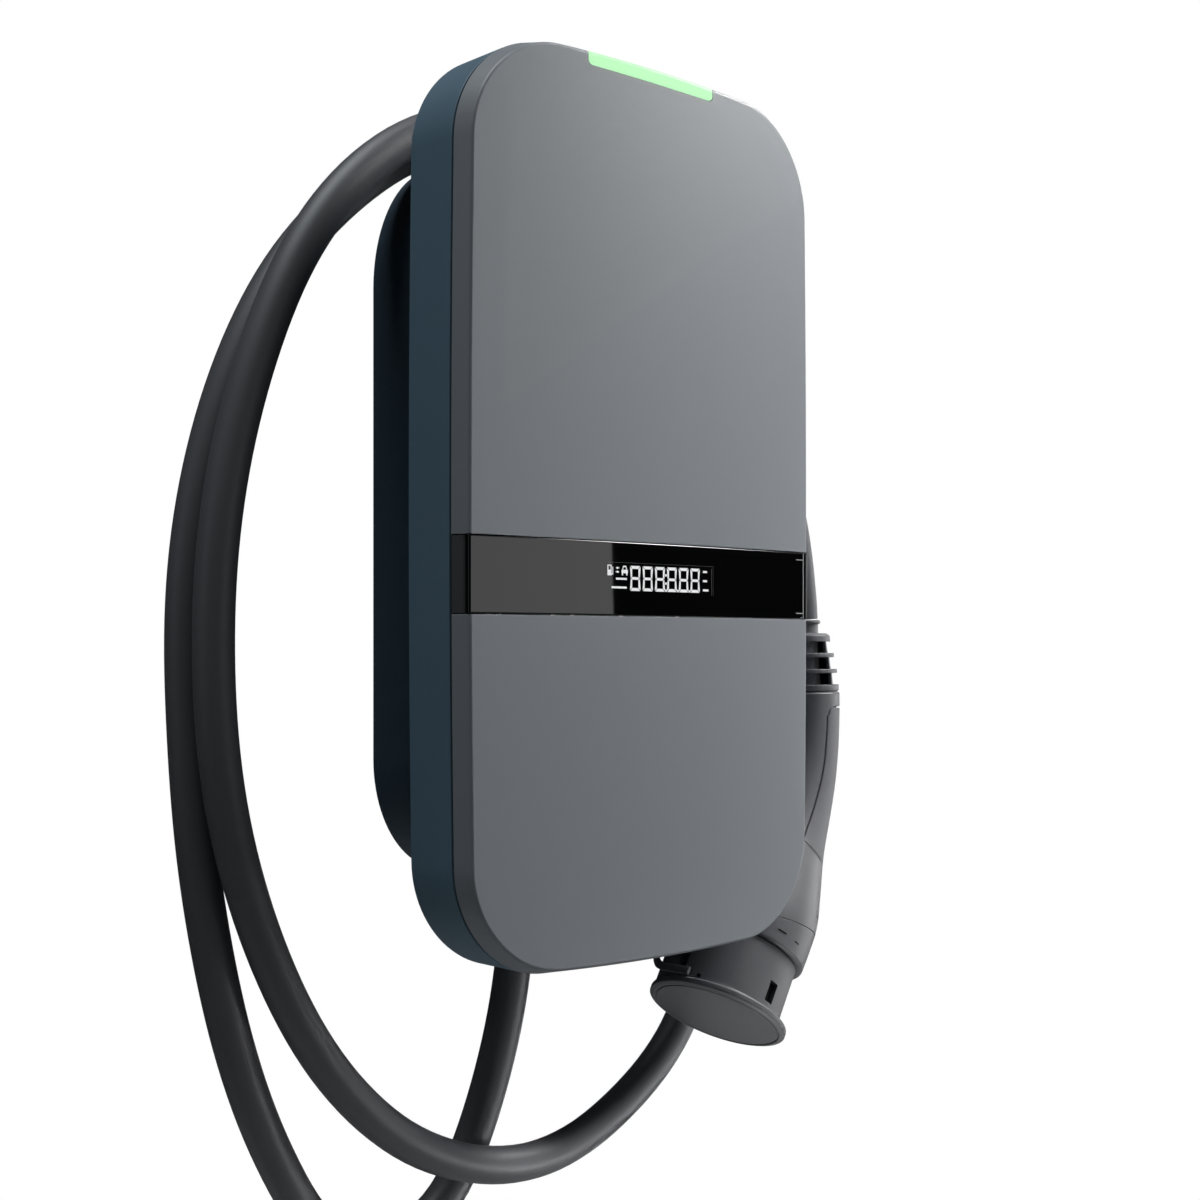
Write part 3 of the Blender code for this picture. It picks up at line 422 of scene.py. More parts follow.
def sea(d):
    return outline(SEAM_HW - d, SEAM_HH - d, SEAM_R - d, SIDE_BULGE, TOP_BULGE)


def cover_bm(sunk=0.0):
    """The front skin before it is parted: a shallow tray with a rolled front
    edge, bowed forward about a vertical axis."""
    bm = bmesh.new()
    R = 1.5
    levels = [(fro(R * (1 - sin(radians(a)))), Y_FRONT + sunk + R * (1 - cos(radians(a))))
              for a in (0, 12, 25, 38, 52, 66, 80, 90)]
    levels += [(sea(0.05), Y_COVER_REAR - 0.6), (sea(0.12), Y_COVER_REAR - 0.2), (sea(0.35), Y_COVER_REAR),
               (sea(WALL_T), Y_COVER_REAR), (fro(WALL_T), Y_FRONT + sunk + WALL_T)]
    shell(bm, levels)
    for i in range(41):
        x = -96 + 192 * i / 40
        bmesh.ops.bisect_plane(bm, geom=bm.verts[:] + bm.edges[:] + bm.faces[:], dist=1e-7,
                               plane_co=(x * MM, 0, 0), plane_no=(1, 0, 0))
    for i in range(1, 16):
        z = -180 + 24 * i
        bmesh.ops.bisect_plane(bm, geom=bm.verts[:] + bm.edges[:] + bm.faces[:], dist=1e-7,
                               plane_co=(0, 0, z * MM), plane_no=(0, 0, 1))
    for v in bm.verts:
        y = v.co.y / MM
        w = 1.0 if y < Y_FRONT + sunk + 3.0 else max(0.0, (Y_COVER_REAR - y)
                                                      / (Y_COVER_REAR - Y_FRONT - sunk - 3.0))
        v.co.y += w * BOW * (v.co.x / MM / FRONT_HW) ** 2 * MM
    return bm


def slice_bm(bm, co, no):
    r = bmesh.ops.bisect_plane(bm, geom=bm.verts[:] + bm.edges[:] + bm.faces[:], dist=1e-7,
                               plane_co=Vector(co) * MM, plane_no=no, clear_outer=True)
    edges = [e for e in r["geom_cut"] if isinstance(e, bmesh.types.BMEdge)]
    bmesh.ops.holes_fill(bm, edges=edges, sides=0)


def bow_y(x):
    return Y_FRONT + BOW * (x / FRONT_HW) ** 2


def add_box(bm, lo, hi, bevel=0.0, seg=2):
    r = bmesh.ops.create_cube(bm, size=1.0)
    vs = r["verts"]
    for v in vs:
        v.co = Vector([(lo[i] + (hi[i] - lo[i]) * (v.co[i] + 0.5)) * MM for i in range(3)])
    if bevel:
        es = {e for v in vs for e in v.link_edges}
        bmesh.ops.bevel(bm, geom=list(es), offset=bevel * MM, segments=seg, affect="EDGES",
                        profile=0.5)


def add_turned(bm, profile, origin, direction, seg=32, loop=False, phase=0.0, frame=None,
               twist=None):
    """Revolve (radius, distance) pairs about a line through origin."""
    if frame:
        u, v, w = frame
    else:
        w = Vector(direction).normalized()
        ref = Vector((0, 0, 1)) if abs(w.z) < 0.9 else Vector((1, 0, 0))
        u = ref.cross(w).normalized()
        v = w.cross(u)
    o = Vector(origin)
    rings = []
    for r, t in profile:
        if r < 1e-6:
            rings.append([bm.verts.new((o + w * t) * MM)])
        else:
            row = []
            for k in range(seg):
                a = phase + 2 * pi * k / seg
                q = r * (twist(a, t) if twist else 1.0)
                row.append(bm.verts.new((o + w * t + (u * cos(a) + v * sin(a)) * q) * MM))
            rings.append(row)
    pairs = list(zip(rings, rings[1:]))
    if loop:
        pairs.append((rings[-1], rings[0]))
    for a, b in pairs:
        if len(a) == 1 and len(b) == 1:
            continue
        for k in range(seg):
            j = (k + 1) % seg
            if len(a) == 1:
                bm.faces.new((a[0], b[j], b[k]))
            elif len(b) == 1:
                bm.faces.new((a[k], a[j], b[0]))
            else:
                bm.faces.new((a[k], a[j], b[j], b[k]))
    if not loop:
        for e in (rings[0], rings[-1]):
            if len(e) > 1:
                bm.faces.new(e)


def rounded(profile, r=0.4, n=3):
    """Round the corners of a turned profile."""
    out = [profile[0]]
    for a, b, c in zip(profile, profile[1:], profile[2:]):
        A, B, C = Vector(a), Vector(b), Vector(c)
        la, lc = (A - B).length, (C - B).length
        d = min(r, la * 0.45, lc * 0.45)
        if d < 1e-4 or abs((A - B).normalized().dot((C - B).normalized())) > 0.995:
            out.append(b)
            continue
        p, q = B + (A - B) / la * d, B + (C - B) / lc * d
        for k in range(n + 1):
            t = k / n
            m = p * (1 - t) ** 2 + B * 2 * t * (1 - t) + q * t * t
            out.append((m.x, m.y))
    out.append(profile[-1])
    return out


def grid(bm, rows, close=False):
    vs = [[bm.verts.new(Vector(p) * MM) for p in row] for row in rows]
    n = len(vs[0])
    for a, b in zip(vs, vs[1:]):
        for j in range(n if close else n - 1):
            k = (j + 1) % n
            bm.faces.new((a[j], a[k], b[k], b[j]))
    return vs


def carve(ob, cutter, solver="EXACT"):
    cutter.hide_render = True
    cutter.hide_viewport = True
    m = ob.modifiers.new("opening", "BOOLEAN")
    m.operation = "DIFFERENCE"
    m.solver = solver
    m.object = cutter
    # openings come before the rounded edges
    n = len(ob.modifiers)
    ob.modifiers.move(n - 1, 0)
    done = evaluated(ob)
    bpy.data.objects.remove(cutter, do_unlink=True)
    return done


def evaluated(ob):
    """Bake the first modifier's result into the mesh, keeping the others."""
    keep = [(m.name, m.show_viewport) for m in ob.modifiers]
    for m in ob.modifiers[1:]:
        m.show_viewport = False
    dg = bpy.context.evaluated_depsgraph_get()
    dg.update()
    me = bpy.data.meshes.new_from_object(ob.evaluated_get(dg))
    old = ob.data
    ob.data = me
    ob.modifiers.remove(ob.modifiers[0])
    for m in ob.modifiers:
        m.show_viewport = True
    bpy.data.meshes.remove(old)
    return ob


def solid(name, bm):
    bmesh.ops.recalc_face_normals(bm, faces=bm.faces[:])
    me = bpy.data.meshes.new(name)
    bm.to_mesh(me)
    bm.free()
    ob = bpy.data.objects.new(name, me)
    bpy.context.scene.collection.objects.link(ob)
    return ob


# ------------------------------------------------------------------ casing
bm = cover_bm()
slice_bm(bm, (0, 0, BAND_TOP), (0, 0, -1))
upper = piece("upper_cover_skin", bm, MAT["cover"], bevel=0.28, seg=2)
cb = bmesh.new()
zt = FRONT_HH + TOP_BULGE - BAR_HEIGHT
prof = [(BAR_X - BAR_HALF, 210.0)]
for k in range(7):
    a = radians(180 + 90 * k / 6)
    prof.append((BAR_X - BAR_HALF + 2.2 + 2.2 * cos(a), zt + 2.2 + 2.2 * sin(a)))
for k in range(7):
    a = radians(270 + 90 * k / 6)
    prof.append((BAR_X + BAR_HALF - 2.2 + 2.2 * cos(a), zt + 2.2 + 2.2 * sin(a)))
prof.append((BAR_X + BAR_HALF, 210.0))
r0 = [cb.verts.new((x * MM, -0.140, z * MM)) for x, z in prof]
r1 = [cb.verts.new((x * MM, -0.1135, z * MM)) for x, z in prof]
bridge(cb, r0, r1)
cb.faces.new(r0)
cb.faces.new(r1)
carve(upper, solid("bar_notch", cb))
stands_for(upper, "upper_cover")

bm = cover_bm()
slice_bm(bm, (0, 0, BAND_BOTTOM), (0, 0, 1))
stands_for(piece("lower_cover_skin", bm, MAT["cover"], bevel=0.28, seg=2), "lower_cover")

# light bar: the same skin, trimmed to the notch
g = 0.35
bm = cover_bm()
slice_bm(bm, (0, 0, zt + g), (0, 0, -1))
slice_bm(bm, (BAR_X + BAR_HALF - g, 0, 0), (1, 0, 0))
slice_bm(bm, (BAR_X - BAR_HALF + g, 0, 0), (-1, 0, 0))
slice_bm(bm, (0, -113.5 - g, 0), (0, 1, 0))
for a in (22.5, 45, 67.5):
    c, s = cos(radians(a)), sin(radians(a))
    rr = 2.2
    for sx in (1, -1):
        slice_bm(bm, (BAR_X + sx * (BAR_HALF - g - rr + rr * c), 0, zt + g + rr - rr * s), (sx * c, 0, -s))
stands_for(piece("light_bar_lens", bm, MAT["light"], bevel=0.35, seg=3), "status_light_lens")

# main housing, its rear edge rolled
bm = bmesh.new()
op_ = []
xc = BOX_HW - BOX_RX


def bx(d, nc=24):
    pts = []
    for q, (sx, sz) in enumerate(((1, 1), (-1, 1), (-1, -1), (1, -1))):
        rz = BOX_RZ_TOP if sz > 0 else BOX_RZ_BOTTOM
        zc = (BOX_TOP - rz) if sz > 0 else (BOX_BOTTOM + rz)
        for k in range(nc + 1):
            t = radians(90.0 * q + 90.0 * k / nc)
            pts.append((sx * xc + (BOX_RX - d) * cos(t), zc + (rz - d) * sin(t)))
    return pts


R = 1.2
outer = [ring(bm, sea(R * (1 - sin(radians(a)))), Y_HOUSING_REAR - R * (1 - cos(radians(a))))
         for a in (0, 22, 45, 67, 90)]
outer += [ring(bm, sea(0.0), Y_HOUSING_FRONT + 0.5), ring(bm, sea(0.12), Y_HOUSING_FRONT + 0.15),
          ring(bm, sea(0.5), Y_HOUSING_FRONT), ring(bm, sea(WALL_T), Y_HOUSING_FRONT),
          ring(bm, sea(WALL_T), Y_HOUSING_REAR - WALL_T)]
for a, b in zip(outer, outer[1:]):
    bridge(bm, a, b)
mouth = [ring(bm, bx(5.0), Y_HOUSING_REAR), ring(bm, bx(5.0), Y_HOUSING_REAR - WALL_T)]
bridge(bm, mouth[0], mouth[1])
for a, b in ((outer[0], mouth[0]), (outer[-1], mouth[1])):
    edges = []
    for r in (a, b):
        edges += [bm.edges.get((r[i], r[(i + 1) % len(r)])) for i in range(len(r))]
    bmesh.ops.triangle_fill(bm, use_beauty=True, use_dissolve=False, edges=edges)
stands_for(piece("housing_frame", bm, MAT["housing"], angle=50), "main_housing")

# seal
bm = bmesh.new()
shell(bm, [(sea(1.0), -109.6), (sea(0.9), -109.45), (sea(0.9), -109.15), (sea(1.0), -109.0),
           (sea(4.2), -109.0), (sea(4.2), -109.6)], loop=True)
stands_for(piece("perimeter_seal", bm, MAT["seal"], angle=50), "cover_seal")

# back box with its rolled rim and two knockouts
bm = bmesh.new()
R = 1.5
lv = [(bx(WALL_T), WEB_Y0), (bx(WALL_T), -0.5), (bx(R), -0.5)]
lv += [(bx(R * (1 - sin(radians(a)))), -0.5 - R * (1 - cos(radians(a)))) for a in (22, 45, 67, 90)]
lv += [(bx(0.0), Y_HOUSING_REAR + GAP), (bx(WALL_T), Y_HOUSING_REAR + GAP), (bx(WALL_T), WEB_Y1)]
shell(bm, lv)
bb = piece("back_box_moulding", bm, MAT["box"], angle=50)
for nm, x, r in (("a", GLAND_X, 15.0), ("b", SUPPLY_X, 12.8)):
    c = bmesh.new()
    add_turned(c, [(r, -12), (r, 12)], (x, GLAND_Y, -161), (0, 0, 1), 48)
    carve(bb, solid("knockout_" + nm, c))
stands_for(bb, "back_box")

# ------------------------------------------------------------------ display band
WINDOW_T = 2.0
bm = cover_bm(WINDOW_T + GAP)
slice_bm(bm, (0, 0, BAND_TOP - BAND_GAP), (0, 0, 1))
slice_bm(bm, (0, 0, BAND_BOTTOM + BAND_GAP), (0, 0, -1))
LCD_X0, LCD_X1, LCD_Z0, LCD_Z1 = -31.5, 33.0, -35.2, -22.2
carrier = piece("band_carrier_moulding", bm, MAT["black"], bevel=0.25, seg=2)
cb = bmesh.new()
add_box(cb, (LCD_X0 - GAP, -130, LCD_Z0 - GAP), (LCD_X1 + GAP, -114.5, LCD_Z1 + GAP))
carve(carrier, solid("lcd_opening", cb))
stands_for(carrier, "band_carrier")

zt_, zb_ = BAND_TOP - BAND_GAP, BAND_BOTTOM + BAND_GAP
xe = FRONT_HW + SIDE_BULGE - 0.15
bm = bmesh.new()
xs = [-xe, -xe + 0.1, -xe + 0.3, -xe + 0.6, -xe + 0.9, -xe + 1.2] + [
    -100 + 200 * i / 80 for i in range(81)] + [xe - 1.2, xe - 0.9, xe - 0.6, xe - 0.3, xe - 0.1, xe]
NX = len(xs)
E = 0.35
zs = [zb_, zb_ + E * 0.3, zb_ + E, zb_ + E + 0.25, (zb_ + zt_) / 2, zt_ - E - 0.25, zt_ - E,
      zt_ - E * 0.3, zt_]
sink = [E, E * 0.3, 0.0, 0.0, 0.0, 0.0, 0.0, E * 0.3, E]
front = []
for i, x in enumerate(xs):
    q = max(0.0, 1 - (xe - abs(x)) / 0.9)
    end = 0.8 * (1 - sqrt(max(0.0, 1 - q * q)))
    front.append([(x, bow_y(x) + max(sink[j], end), zs[j]) for j in range(9)])
back = [[(x, bow_y(x) + WINDOW_T, z) for z in (zb_, (zb_ + zt_) / 2, zt_)] for x in xs]
f = grid(bm, front)
b = grid(bm, back)
for i in range(NX - 1):
    bm.faces.new((f[i][0], f[i + 1][0], b[i + 1][0], b[i][0]))
    bm.faces.new((f[i][-1], b[i][-1], b[i + 1][-1], f[i + 1][-1]))
for i in (0, NX - 1):
    bm.faces.new([*f[i], *reversed(b[i])])
stands_for(piece("band_window_pane", bm, MAT["glass"], angle=50), "band_window")


def plate(bm, pts, lift=0.05, t=0.03):
    """A thin printed shape laid on the bowed window, given as (x, z) points."""
    fr = [bm.verts.new((x * MM, (bow_y(x) - lift) * MM, z * MM)) for x, z in pts]
    bm.faces.new(fr)


def bar(bm, x0, z0, x1, z1, lift=0.05, n=1):
    for i in range(n):
        a, b = x0 + (x1 - x0) * i / n, x0 + (x1 - x0) * (i + 1) / n
        plate(bm, [(a, z0), (b, z0), (b, z1), (a, z1)], lift)


# seven-segment digits, all segments on, with two dots and points
bm = bmesh.new()
DW, DH, PITCH, TH = 6.2, 10.7, 7.36, 1.25
D0, DT = -18.7, -22.9
for d in range(6):
    x0 = D0 + PITCH * d
    x1, top, bot = x0 + DW, DT, DT - DH
    mid = (top + bot) / 2
    h, e = TH, 0.12
    # horizontals
    plate(bm, [(x0 + e + 0.2, top), (x1 - e - 0.2, top), (x1 - h - e, top - h), (x0 + h + e, top - h)])
    plate(bm, [(x0 + e + 0.2, bot), (x0 + h + e, bot + h), (x1 - h - e, bot + h), (x1 - e - 0.2, bot)])
    plate(bm, [(x0 + 0.75, mid), (x0 + h + e, mid + h * 0.45), (x1 - h - e, mid + h * 0.45), (x1 - 0.75, mid),
               (x1 - h - e, mid - h * 0.45), (x0 + h + e, mid - h * 0.45)])
    # verticals
    for s, a in ((1, x0), (-1, x1)):
        plate(bm, [(a, top - e - 0.2), (a + s * h, top - h - e), (a + s * h, mid + h * 0.5 + e),
                   (a + s * 0.45, mid + e)])
        plate(bm, [(a, bot + e + 0.2), (a + s * 0.45, mid - e), (a + s * h, mid - h * 0.5 - e),
                   (a + s * h, bot + h + e)])
for d, zz in ((3, -26.4), (3, -30.0), (3, -33.1), (4, -33.1), (5, -33.1)):
    xx = D0 + PITCH * d - (PITCH - DW) / 2
    bar(bm, xx - 0.5, zz - 0.5, xx + 0.5, zz + 0.5)
# charging post, two arrows and car pictograms
bar(bm, -31.6, -27.3, -31.1, -22.8)
bar(bm, -29.8, -27.3, -29.3, -22.8)
bar(bm, -31.1, -23.2, -29.8, -22.8)
bar(bm, -31.1, -27.3, -29.8, -24.9)
bar(bm, -28.8, -26.6, -28.4, -23.6)
bar(bm, -29.3, -26.9, -28.4, -26.5)
plate(bm, [(-26.9, -24.0), (-25.8, -23.4), (-25.8, -23.8), (-24.9, -23.8), (-24.9, -24.2), (-25.8, -24.2),
           (-25.8, -24.6)])
plate(bm, [(-24.9, -25.7), (-26.0, -25.1), (-26.0, -25.5), (-26.9, -25.5), (-26.9, -25.9), (-26.0, -25.9),
           (-26.0, -26.3)])
plate(bm, [(-23.2, -24.6), (-22.7, -23.0), (-20.9, -23.0), (-20.4, -24.6), (-20.9, -24.6), (-21.2, -23.6),
           (-22.4, -23.6), (-22.7, -24.6)])
bar(bm, -23.6, -26.2, -20.0, -24.7)
bar(bm, -23.4, -27.1, -22.7, -26.2)
bar(bm, -20.9, -27.1, -20.2, -26.2)
# unit marks reduced to plain dashes
for zz in (-24.2, -28.3, -32.4):
    bar(bm, 26.3, zz - 0.45, 29.9 if zz < -30 else 29.0, zz + 0.45)
for zz in (-28.6, -32.3):
    bar(bm, -26.8 if zz > -30 else -29.3, zz - 0.42, -20.6, zz + 0.42)
segs = piece("display_segments", bm, MAT["ink"], weighted=False, recalc=False)
extra(segs)

# faint outline of the display glass and the bright line near the right end
bm = bmesh.new()
bar(bm, -31.6, -21.75, 33.2, -21.62, n=8)
bar(bm, 32.0, -34.6, 32.25, -22.6)
bar(bm, 33.1, -35.0, 33.2, -21.7)
hair = piece("display_outline", bm, moulded("glass_edge", (0.05, 0.05, 0.055), 0.4, 1500), weighted=False,
             recalc=False)
extra(hair)
bm = bmesh.new()
bar(bm, 98.95, -44.0, 99.45, -13.0)
bar(bm, 93.5, -41.9, 99.0, -41.5)
bar(bm, 93.5, -16.5, 99.0, -16.15)
bar(bm, 97.0, -43.9, 98.6, -43.55)
edge = piece("window_clip_line", bm, MAT["hair"], weighted=False, recalc=False)
extra(edge)

# ------------------------------------------------------------------ glands
BOTTOM = BOX_BOTTOM
EXIT_Z = BOTTOM - 32.8 - GAP


def hexed(a, t):
    """Six flats on the gland's body."""
    k = (a + pi / 6) % (pi / 3) - pi / 6
    return 0.955 / cos(k) if cos(k) > 0 else 1.0


def ribbed(a, t):
    return 1.0 + 0.018 * (1 if (a * 12 / pi) % 1.0 < 0.5 else -1)


bm = bmesh.new()
add_turned(bm, rounded([(0, 26), (14.6, 26), (14.6, -0.6), (17.0, -0.6)], 0.3)
           + rounded([(18.0, -0.6), (19.6, -0.8), (20.0, -1.6), (20.0, -7.2), (19.2, -8.0), (16.5, -8.4)],
                     0.4), (GLAND_X, GLAND_Y, BOTTOM), (0, 0, 1), 96,
           twist=lambda a, t: hexed(a, t) if t < -0.5 else 1.0 + 0.012 * sin(t * 6.0))
stands_for(piece("cord_gland_body", bm, MAT["mod_dark"], angle=30), "cable_gland")
bm = bmesh.new()
add_turned(bm, rounded([(9.2, -8.8), (18.6, -8.8), (20.0, -10.0), (20.0, -17.5), (18.4, -24.5), (15.0, -30.0),
                        (11.7, -32.6), (9.3, -32.6)], 0.9, 5), (GLAND_X, GLAND_Y, BOTTOM), (0, 0, 1), 144,
           loop=True, twist=lambda a, t: ribbed(a, t) if -19 < t < -9.5 else 1.0)
stands_for(piece("cord_gland_cap", bm, MAT["mod_dark"], angle=30), "gland_cap_nut")
bm = bmesh.new()
add_turned(bm, rounded([(0, 14), (12.4, 14), (12.4, -0.6), (14.6, -0.6), (15.0, -1.0), (15.0, -3.0),
                        (13.8, -4.1), (0, -4.1)], 0.5, 4), (SUPPLY_X, GLAND_Y, BOTTOM), (0, 0, 1), 72)
add_box(bm, (SUPPLY_X - 6, GLAND_Y - 0.9, BOTTOM - 4.25), (SUPPLY_X + 6, GLAND_Y + 0.9, BOTTOM - 3.9), 0.1, 1)
stands_for(piece("supply_blanking_plug", bm, MAT["mod_dark"], angle=30), "blanking_plug")

# ------------------------------------------------------------------ connector
TIP = Vector(NOSE_TIP)
UP = Vector(NOSE_UP).normalized()
OUTER = (Vector((1, 0, 0)) - UP * UP.x).normalized()
FRONTWARD = UP.cross(OUTER)
if FRONTWARD.y > 0:
    FRONTWARD = -FRONTWARD
NOSE = (OUTER, FRONTWARD, UP)
S_COLLAR0, S_COLLAR1, S_HANDLE = 35.5, 51.5, 51.8
TILT = sin(radians(SEAM_TILT)) / cos(radians(SEAM_TILT))


def on_nose(r, a, s):
    return TIP + UP * s + OUTER * (r * cos(a)) + FRONTWARD * (r * sin(a))


# collar, its upper edge on a slant, with two small moulded dashes
bm = bmesh.new()
SEG = 128
prof = [(28.4, S_COLLAR0 + 0.3, 0), (32.3, S_COLLAR0 + 0.3, 0), (33.1, S_COLLAR0 + 0.5, 0),
        (33.6, S_COLLAR0 + 1.0, 0), (33.8, S_COLLAR0 + 1.7, 0), (34.25, 44.0, 0.5), (34.4, S_COLLAR1 - 0.5, 1), (34.25, S_COLLAR1 - 0.15, 1),
        (33.9, S_COLLAR1, 1), (28.4, S_COLLAR1, 1)]
rows = [[on_nose(r, 2 * pi * i / SEG, t + k * TILT * r * cos(2 * pi * i / SEG)) for i in range(SEG)]
        for r, t, k in prof]
vs = grid(bm, rows, close=True)
bridge(bm, vs[-1], vs[0])
stands_for(piece("connector_collar_ring", bm, MAT["handle"], angle=35), "connector_collar")
bm = bmesh.new()
for a0, a1, s0 in ((98, 107, 42.3), (81, 87, 42.0)):
    rows = []
    for k in range(7):
        a = radians(a0 + (a1 - a0) * k / 6)
        rows.append([on_nose(34.34 + 0.12, a, s0 + q) for q in (0.0, 0.75)])
    grid(bm, rows)
extra(piece("collar_marks", bm, MAT["dark_line"], weighted=False))

bm = bmesh.new()
add_turned(bm, rounded([(25.7, 5.2), (27.9, 5.2), (27.9, 43.0), (25.7, 43.0)], 0.4), TIP, UP, 96, loop=True,
           frame=NOSE)
stands_for(piece("connector_shroud_sleeve", bm, MAT["handle"]), "connector_shroud")
bm = bmesh.new()
add_turned(bm, rounded([(0, 9.0), (25.3, 9.0), (25.3, 43.5), (0, 43.5)], 0.5), TIP, UP, 96, frame=NOSE)
insert = piece("contact_carrier", bm, MAT["mod_dark"], bevel=0.2, seg=2)
PINS = [("earth", 0, 0, 3.6), ("line_1", -14.6, 4.8, 3.6), ("neutral", 14.6, 4.8, 3.6),
        ("line_2", -9.0, -12.4, 3.6), ("line_3", 9.0, -12.4, 3.6),
        ("pilot", -7.6, 14.8, 2.4), ("proximity", 7.6, 14.8, 2.4)]
cb = bmesh.new()
for nm, a, b_, r in PINS:
    c = TIP + OUTER * a + FRONTWARD * b_
    add_turned(cb, [(r + GAP, 5.0), (r + GAP, 30.0)], c, UP, 32, frame=NOSE)
carve(insert, solid("pin_wells", cb))
stands_for(insert, "contact_insert")
for nm, a, b_, r in PINS:
    c = TIP + OUTER * a + FRONTWARD * b_
    bm = bmesh.new()
    add_turned(bm, rounded([(r, 9.8), (r, 29.5), (r - 1.1, 29.5), (r - 1.1, 9.8)], 0.25), c, UP, 32, loop=True,
               frame=NOSE)
    add_turned(bm, [(0, 20.0), (r - 1.15, 20.0), (r - 1.15, 20.5), (0, 20.5)], c, UP, 24, frame=NOSE)
    stands_for(piece("socket_" + nm, bm, MAT["silver"]), "contact_" + nm)

# dust cap
# the sleeve stands a little towards the housing, so its wall is thicker there
FLANGE_R, SLEEVE_R0, SLEEVE_R1 = 35.5, 32.2, 32.5
SLEEVE_SHIFT = OUTER * -1.6 + FRONTWARD * -1.2
bm = bmesh.new()
prof = rounded([(30.0, 0.0), (31.5, 0.0), (31.85, 0.7), (32.35, 0.7), (32.7, 0.0), (33.4, 0.0),
                (FLANGE_R, 0.9), (FLANGE_R, 3.2), (FLANGE_R - 0.5, 4.0), (SLEEVE_R0 + 0.4, 4.3),
                (SLEEVE_R0, 5.3), (SLEEVE_R1, S_COLLAR0 - GAP), (28.3, S_COLLAR0 - GAP), (28.3, 4.4),
                (27.0, 4.4)], 0.5, 4)
loops = []
for r, s in prof:
    off = 0.0 if r < 30.5 else min(1.0, max(0.0, s - 4.1))
    loops.append([TIP + UP * s + SLEEVE_SHIFT * off + OUTER * (r * cos(a)) + FRONTWARD * (r * sin(a))
                  for a in (2 * pi * i / 144 for i in range(144))])
vs = grid(bm, loops, close=True)
bm.faces.new(vs[0])
bm.faces.new(list(reversed(vs[-1])))
cap = piece("dust_cap_moulding", bm, MAT["cap"], bevel=0.18, seg=2, limit=50)
cb = bmesh.new()
for i in range(4):
    d = OUTER * cos(radians(85.5 + 90 * i)) + FRONTWARD * sin(radians(85.5 + 90 * i))
    e = d.cross(UP)
    vs = []
    for s in (8.4, 19.0):
        for a, b_ in ((27.0, -2.9), (35.5, -2.9), (35.5, 2.9), (27.0, 2.9)):
            vs.append(cb.verts.new((TIP + UP * s + SLEEVE_SHIFT + d * a + e * b_) * MM))
    cb.faces.new(vs[0:4])
    cb.faces.new(vs[4:8])
    for j in range(4):
        cb.faces.new((vs[j], vs[(j + 1) % 4], vs[4 + (j + 1) % 4], vs[4 + j]))
# a small notch in the flange's upper edge
d = OUTER * cos(radians(75)) + FRONTWARD * sin(radians(75))
e = d.cross(UP)
vs = []
for s in (2.6, 5.8):
    for a, b_ in ((30.4, -1.7), (33.7, -1.7), (33.7, 1.7), (30.4, 1.7)):
        vs.append(cb.verts.new((TIP + UP * s + d * a + e * b_) * MM))
cb.faces.new(vs[0:4])
cb.faces.new(vs[4:8])
for j in range(4):
    cb.faces.new((vs[j], vs[(j + 1) % 4], vs[4 + (j + 1) % 4], vs[4 + j]))
carve(cap, solid("cap_windows", cb))
stands_for(cap, "dust_cap")
# near-black sheet inside the cap: painted shade seen through the cap's windows
bm = bmesh.new()
add_turned(bm, [(28.27, 5.0), (28.05, 5.0), (28.05, 22.0), (28.27, 22.0)], TIP, UP, 96, loop=True, frame=NOSE)
extra(piece("cap_window_painted_shade", bm, MAT["dark_line"]), "dust_cap_body")
bm = bmesh.new()
d = OUTER * cos(radians(158)) + FRONTWARD * sin(radians(158))
add_turned(bm, [(0.0, 32.4), (1.0, 32.4), (1.0, 33.8), (0.7, 34.2), (0.0, 34.2)], TIP + UP * 6.2, d, 20)
extra(piece("cap_strap_pin", bm, MAT["dark_line"]), "dust_cap_body")

# pull strap: starts blunt beside the flange, hugs the sleeve, then stands off it
STRAP = [(166, 35.5, 6.7), (174, 35.6, 6.9), (181.5, 35.7, 7.3), (188.5, 35.8, 7.9), (196, 36.0, 8.9),
         (203, 36.2, 10.4), (210, 36.6, 12.4), (216, 37.2, 14.9), (222, 38.1, 18.0), (228, 39.1, 21.5),
         (232, 39.9, 25.2), (234, 40.3, 29.0)]


def eased(stations, n):
    """Catmull-Rom through the stations, n steps between each pair."""
    p = [Vector(q) for q in stations]
    p = [p[0] * 2 - p[1]] + p + [p[-1] * 2 - p[-2]]
    out = []
    for i in range(1, len(p) - 2):
        for j in range(n):
            t = j / n
            out.append(0.5 * (2 * p[i] + (p[i + 1] - p[i - 1]) * t
                              + (2 * p[i - 1] - 5 * p[i] + 4 * p[i + 1] - p[i + 2]) * t * t
                              + (3 * p[i] - p[i - 1] - 3 * p[i + 1] + p[i + 2]) * t ** 3))
    out.append(p[-2])
    return out


run = eased(STRAP, 5)
path = [TIP + UP * q.z + (OUTER * cos(radians(q.x)) + FRONTWARD * sin(radians(q.x))) * q.y for q in run]
loops = []
for i, q in enumerate(run):
    along = (path[min(i + 1, len(path) - 1)] - path[max(i - 1, 0)]).normalized()
    out = OUTER * cos(radians(q.x)) + FRONTWARD * sin(radians(q.x))
    out = (out - along * out.dot(along)).normalized()
    wide = along.cross(out)
    k = 0.4
    loops.append([path[i] + out * n + wide * w for n, w in (
        (-1.1, -2.0 + k), (-1.1 + k, -2.0), (1.1 - k, -2.0), (1.1, -2.0 + k), (1.1, 2.0 - k),
        (1.1 - k, 2.0), (-1.1 + k, 2.0), (-1.1, 2.0 - k))])
bm = bmesh.new()
vs = grid(bm, loops, close=True)
bm.faces.new(vs[0])
bm.faces.new(list(reversed(vs[-1])))
stands_for(piece("cap_pull_strap", bm, MAT["cap"], angle=50), "cap_strap")

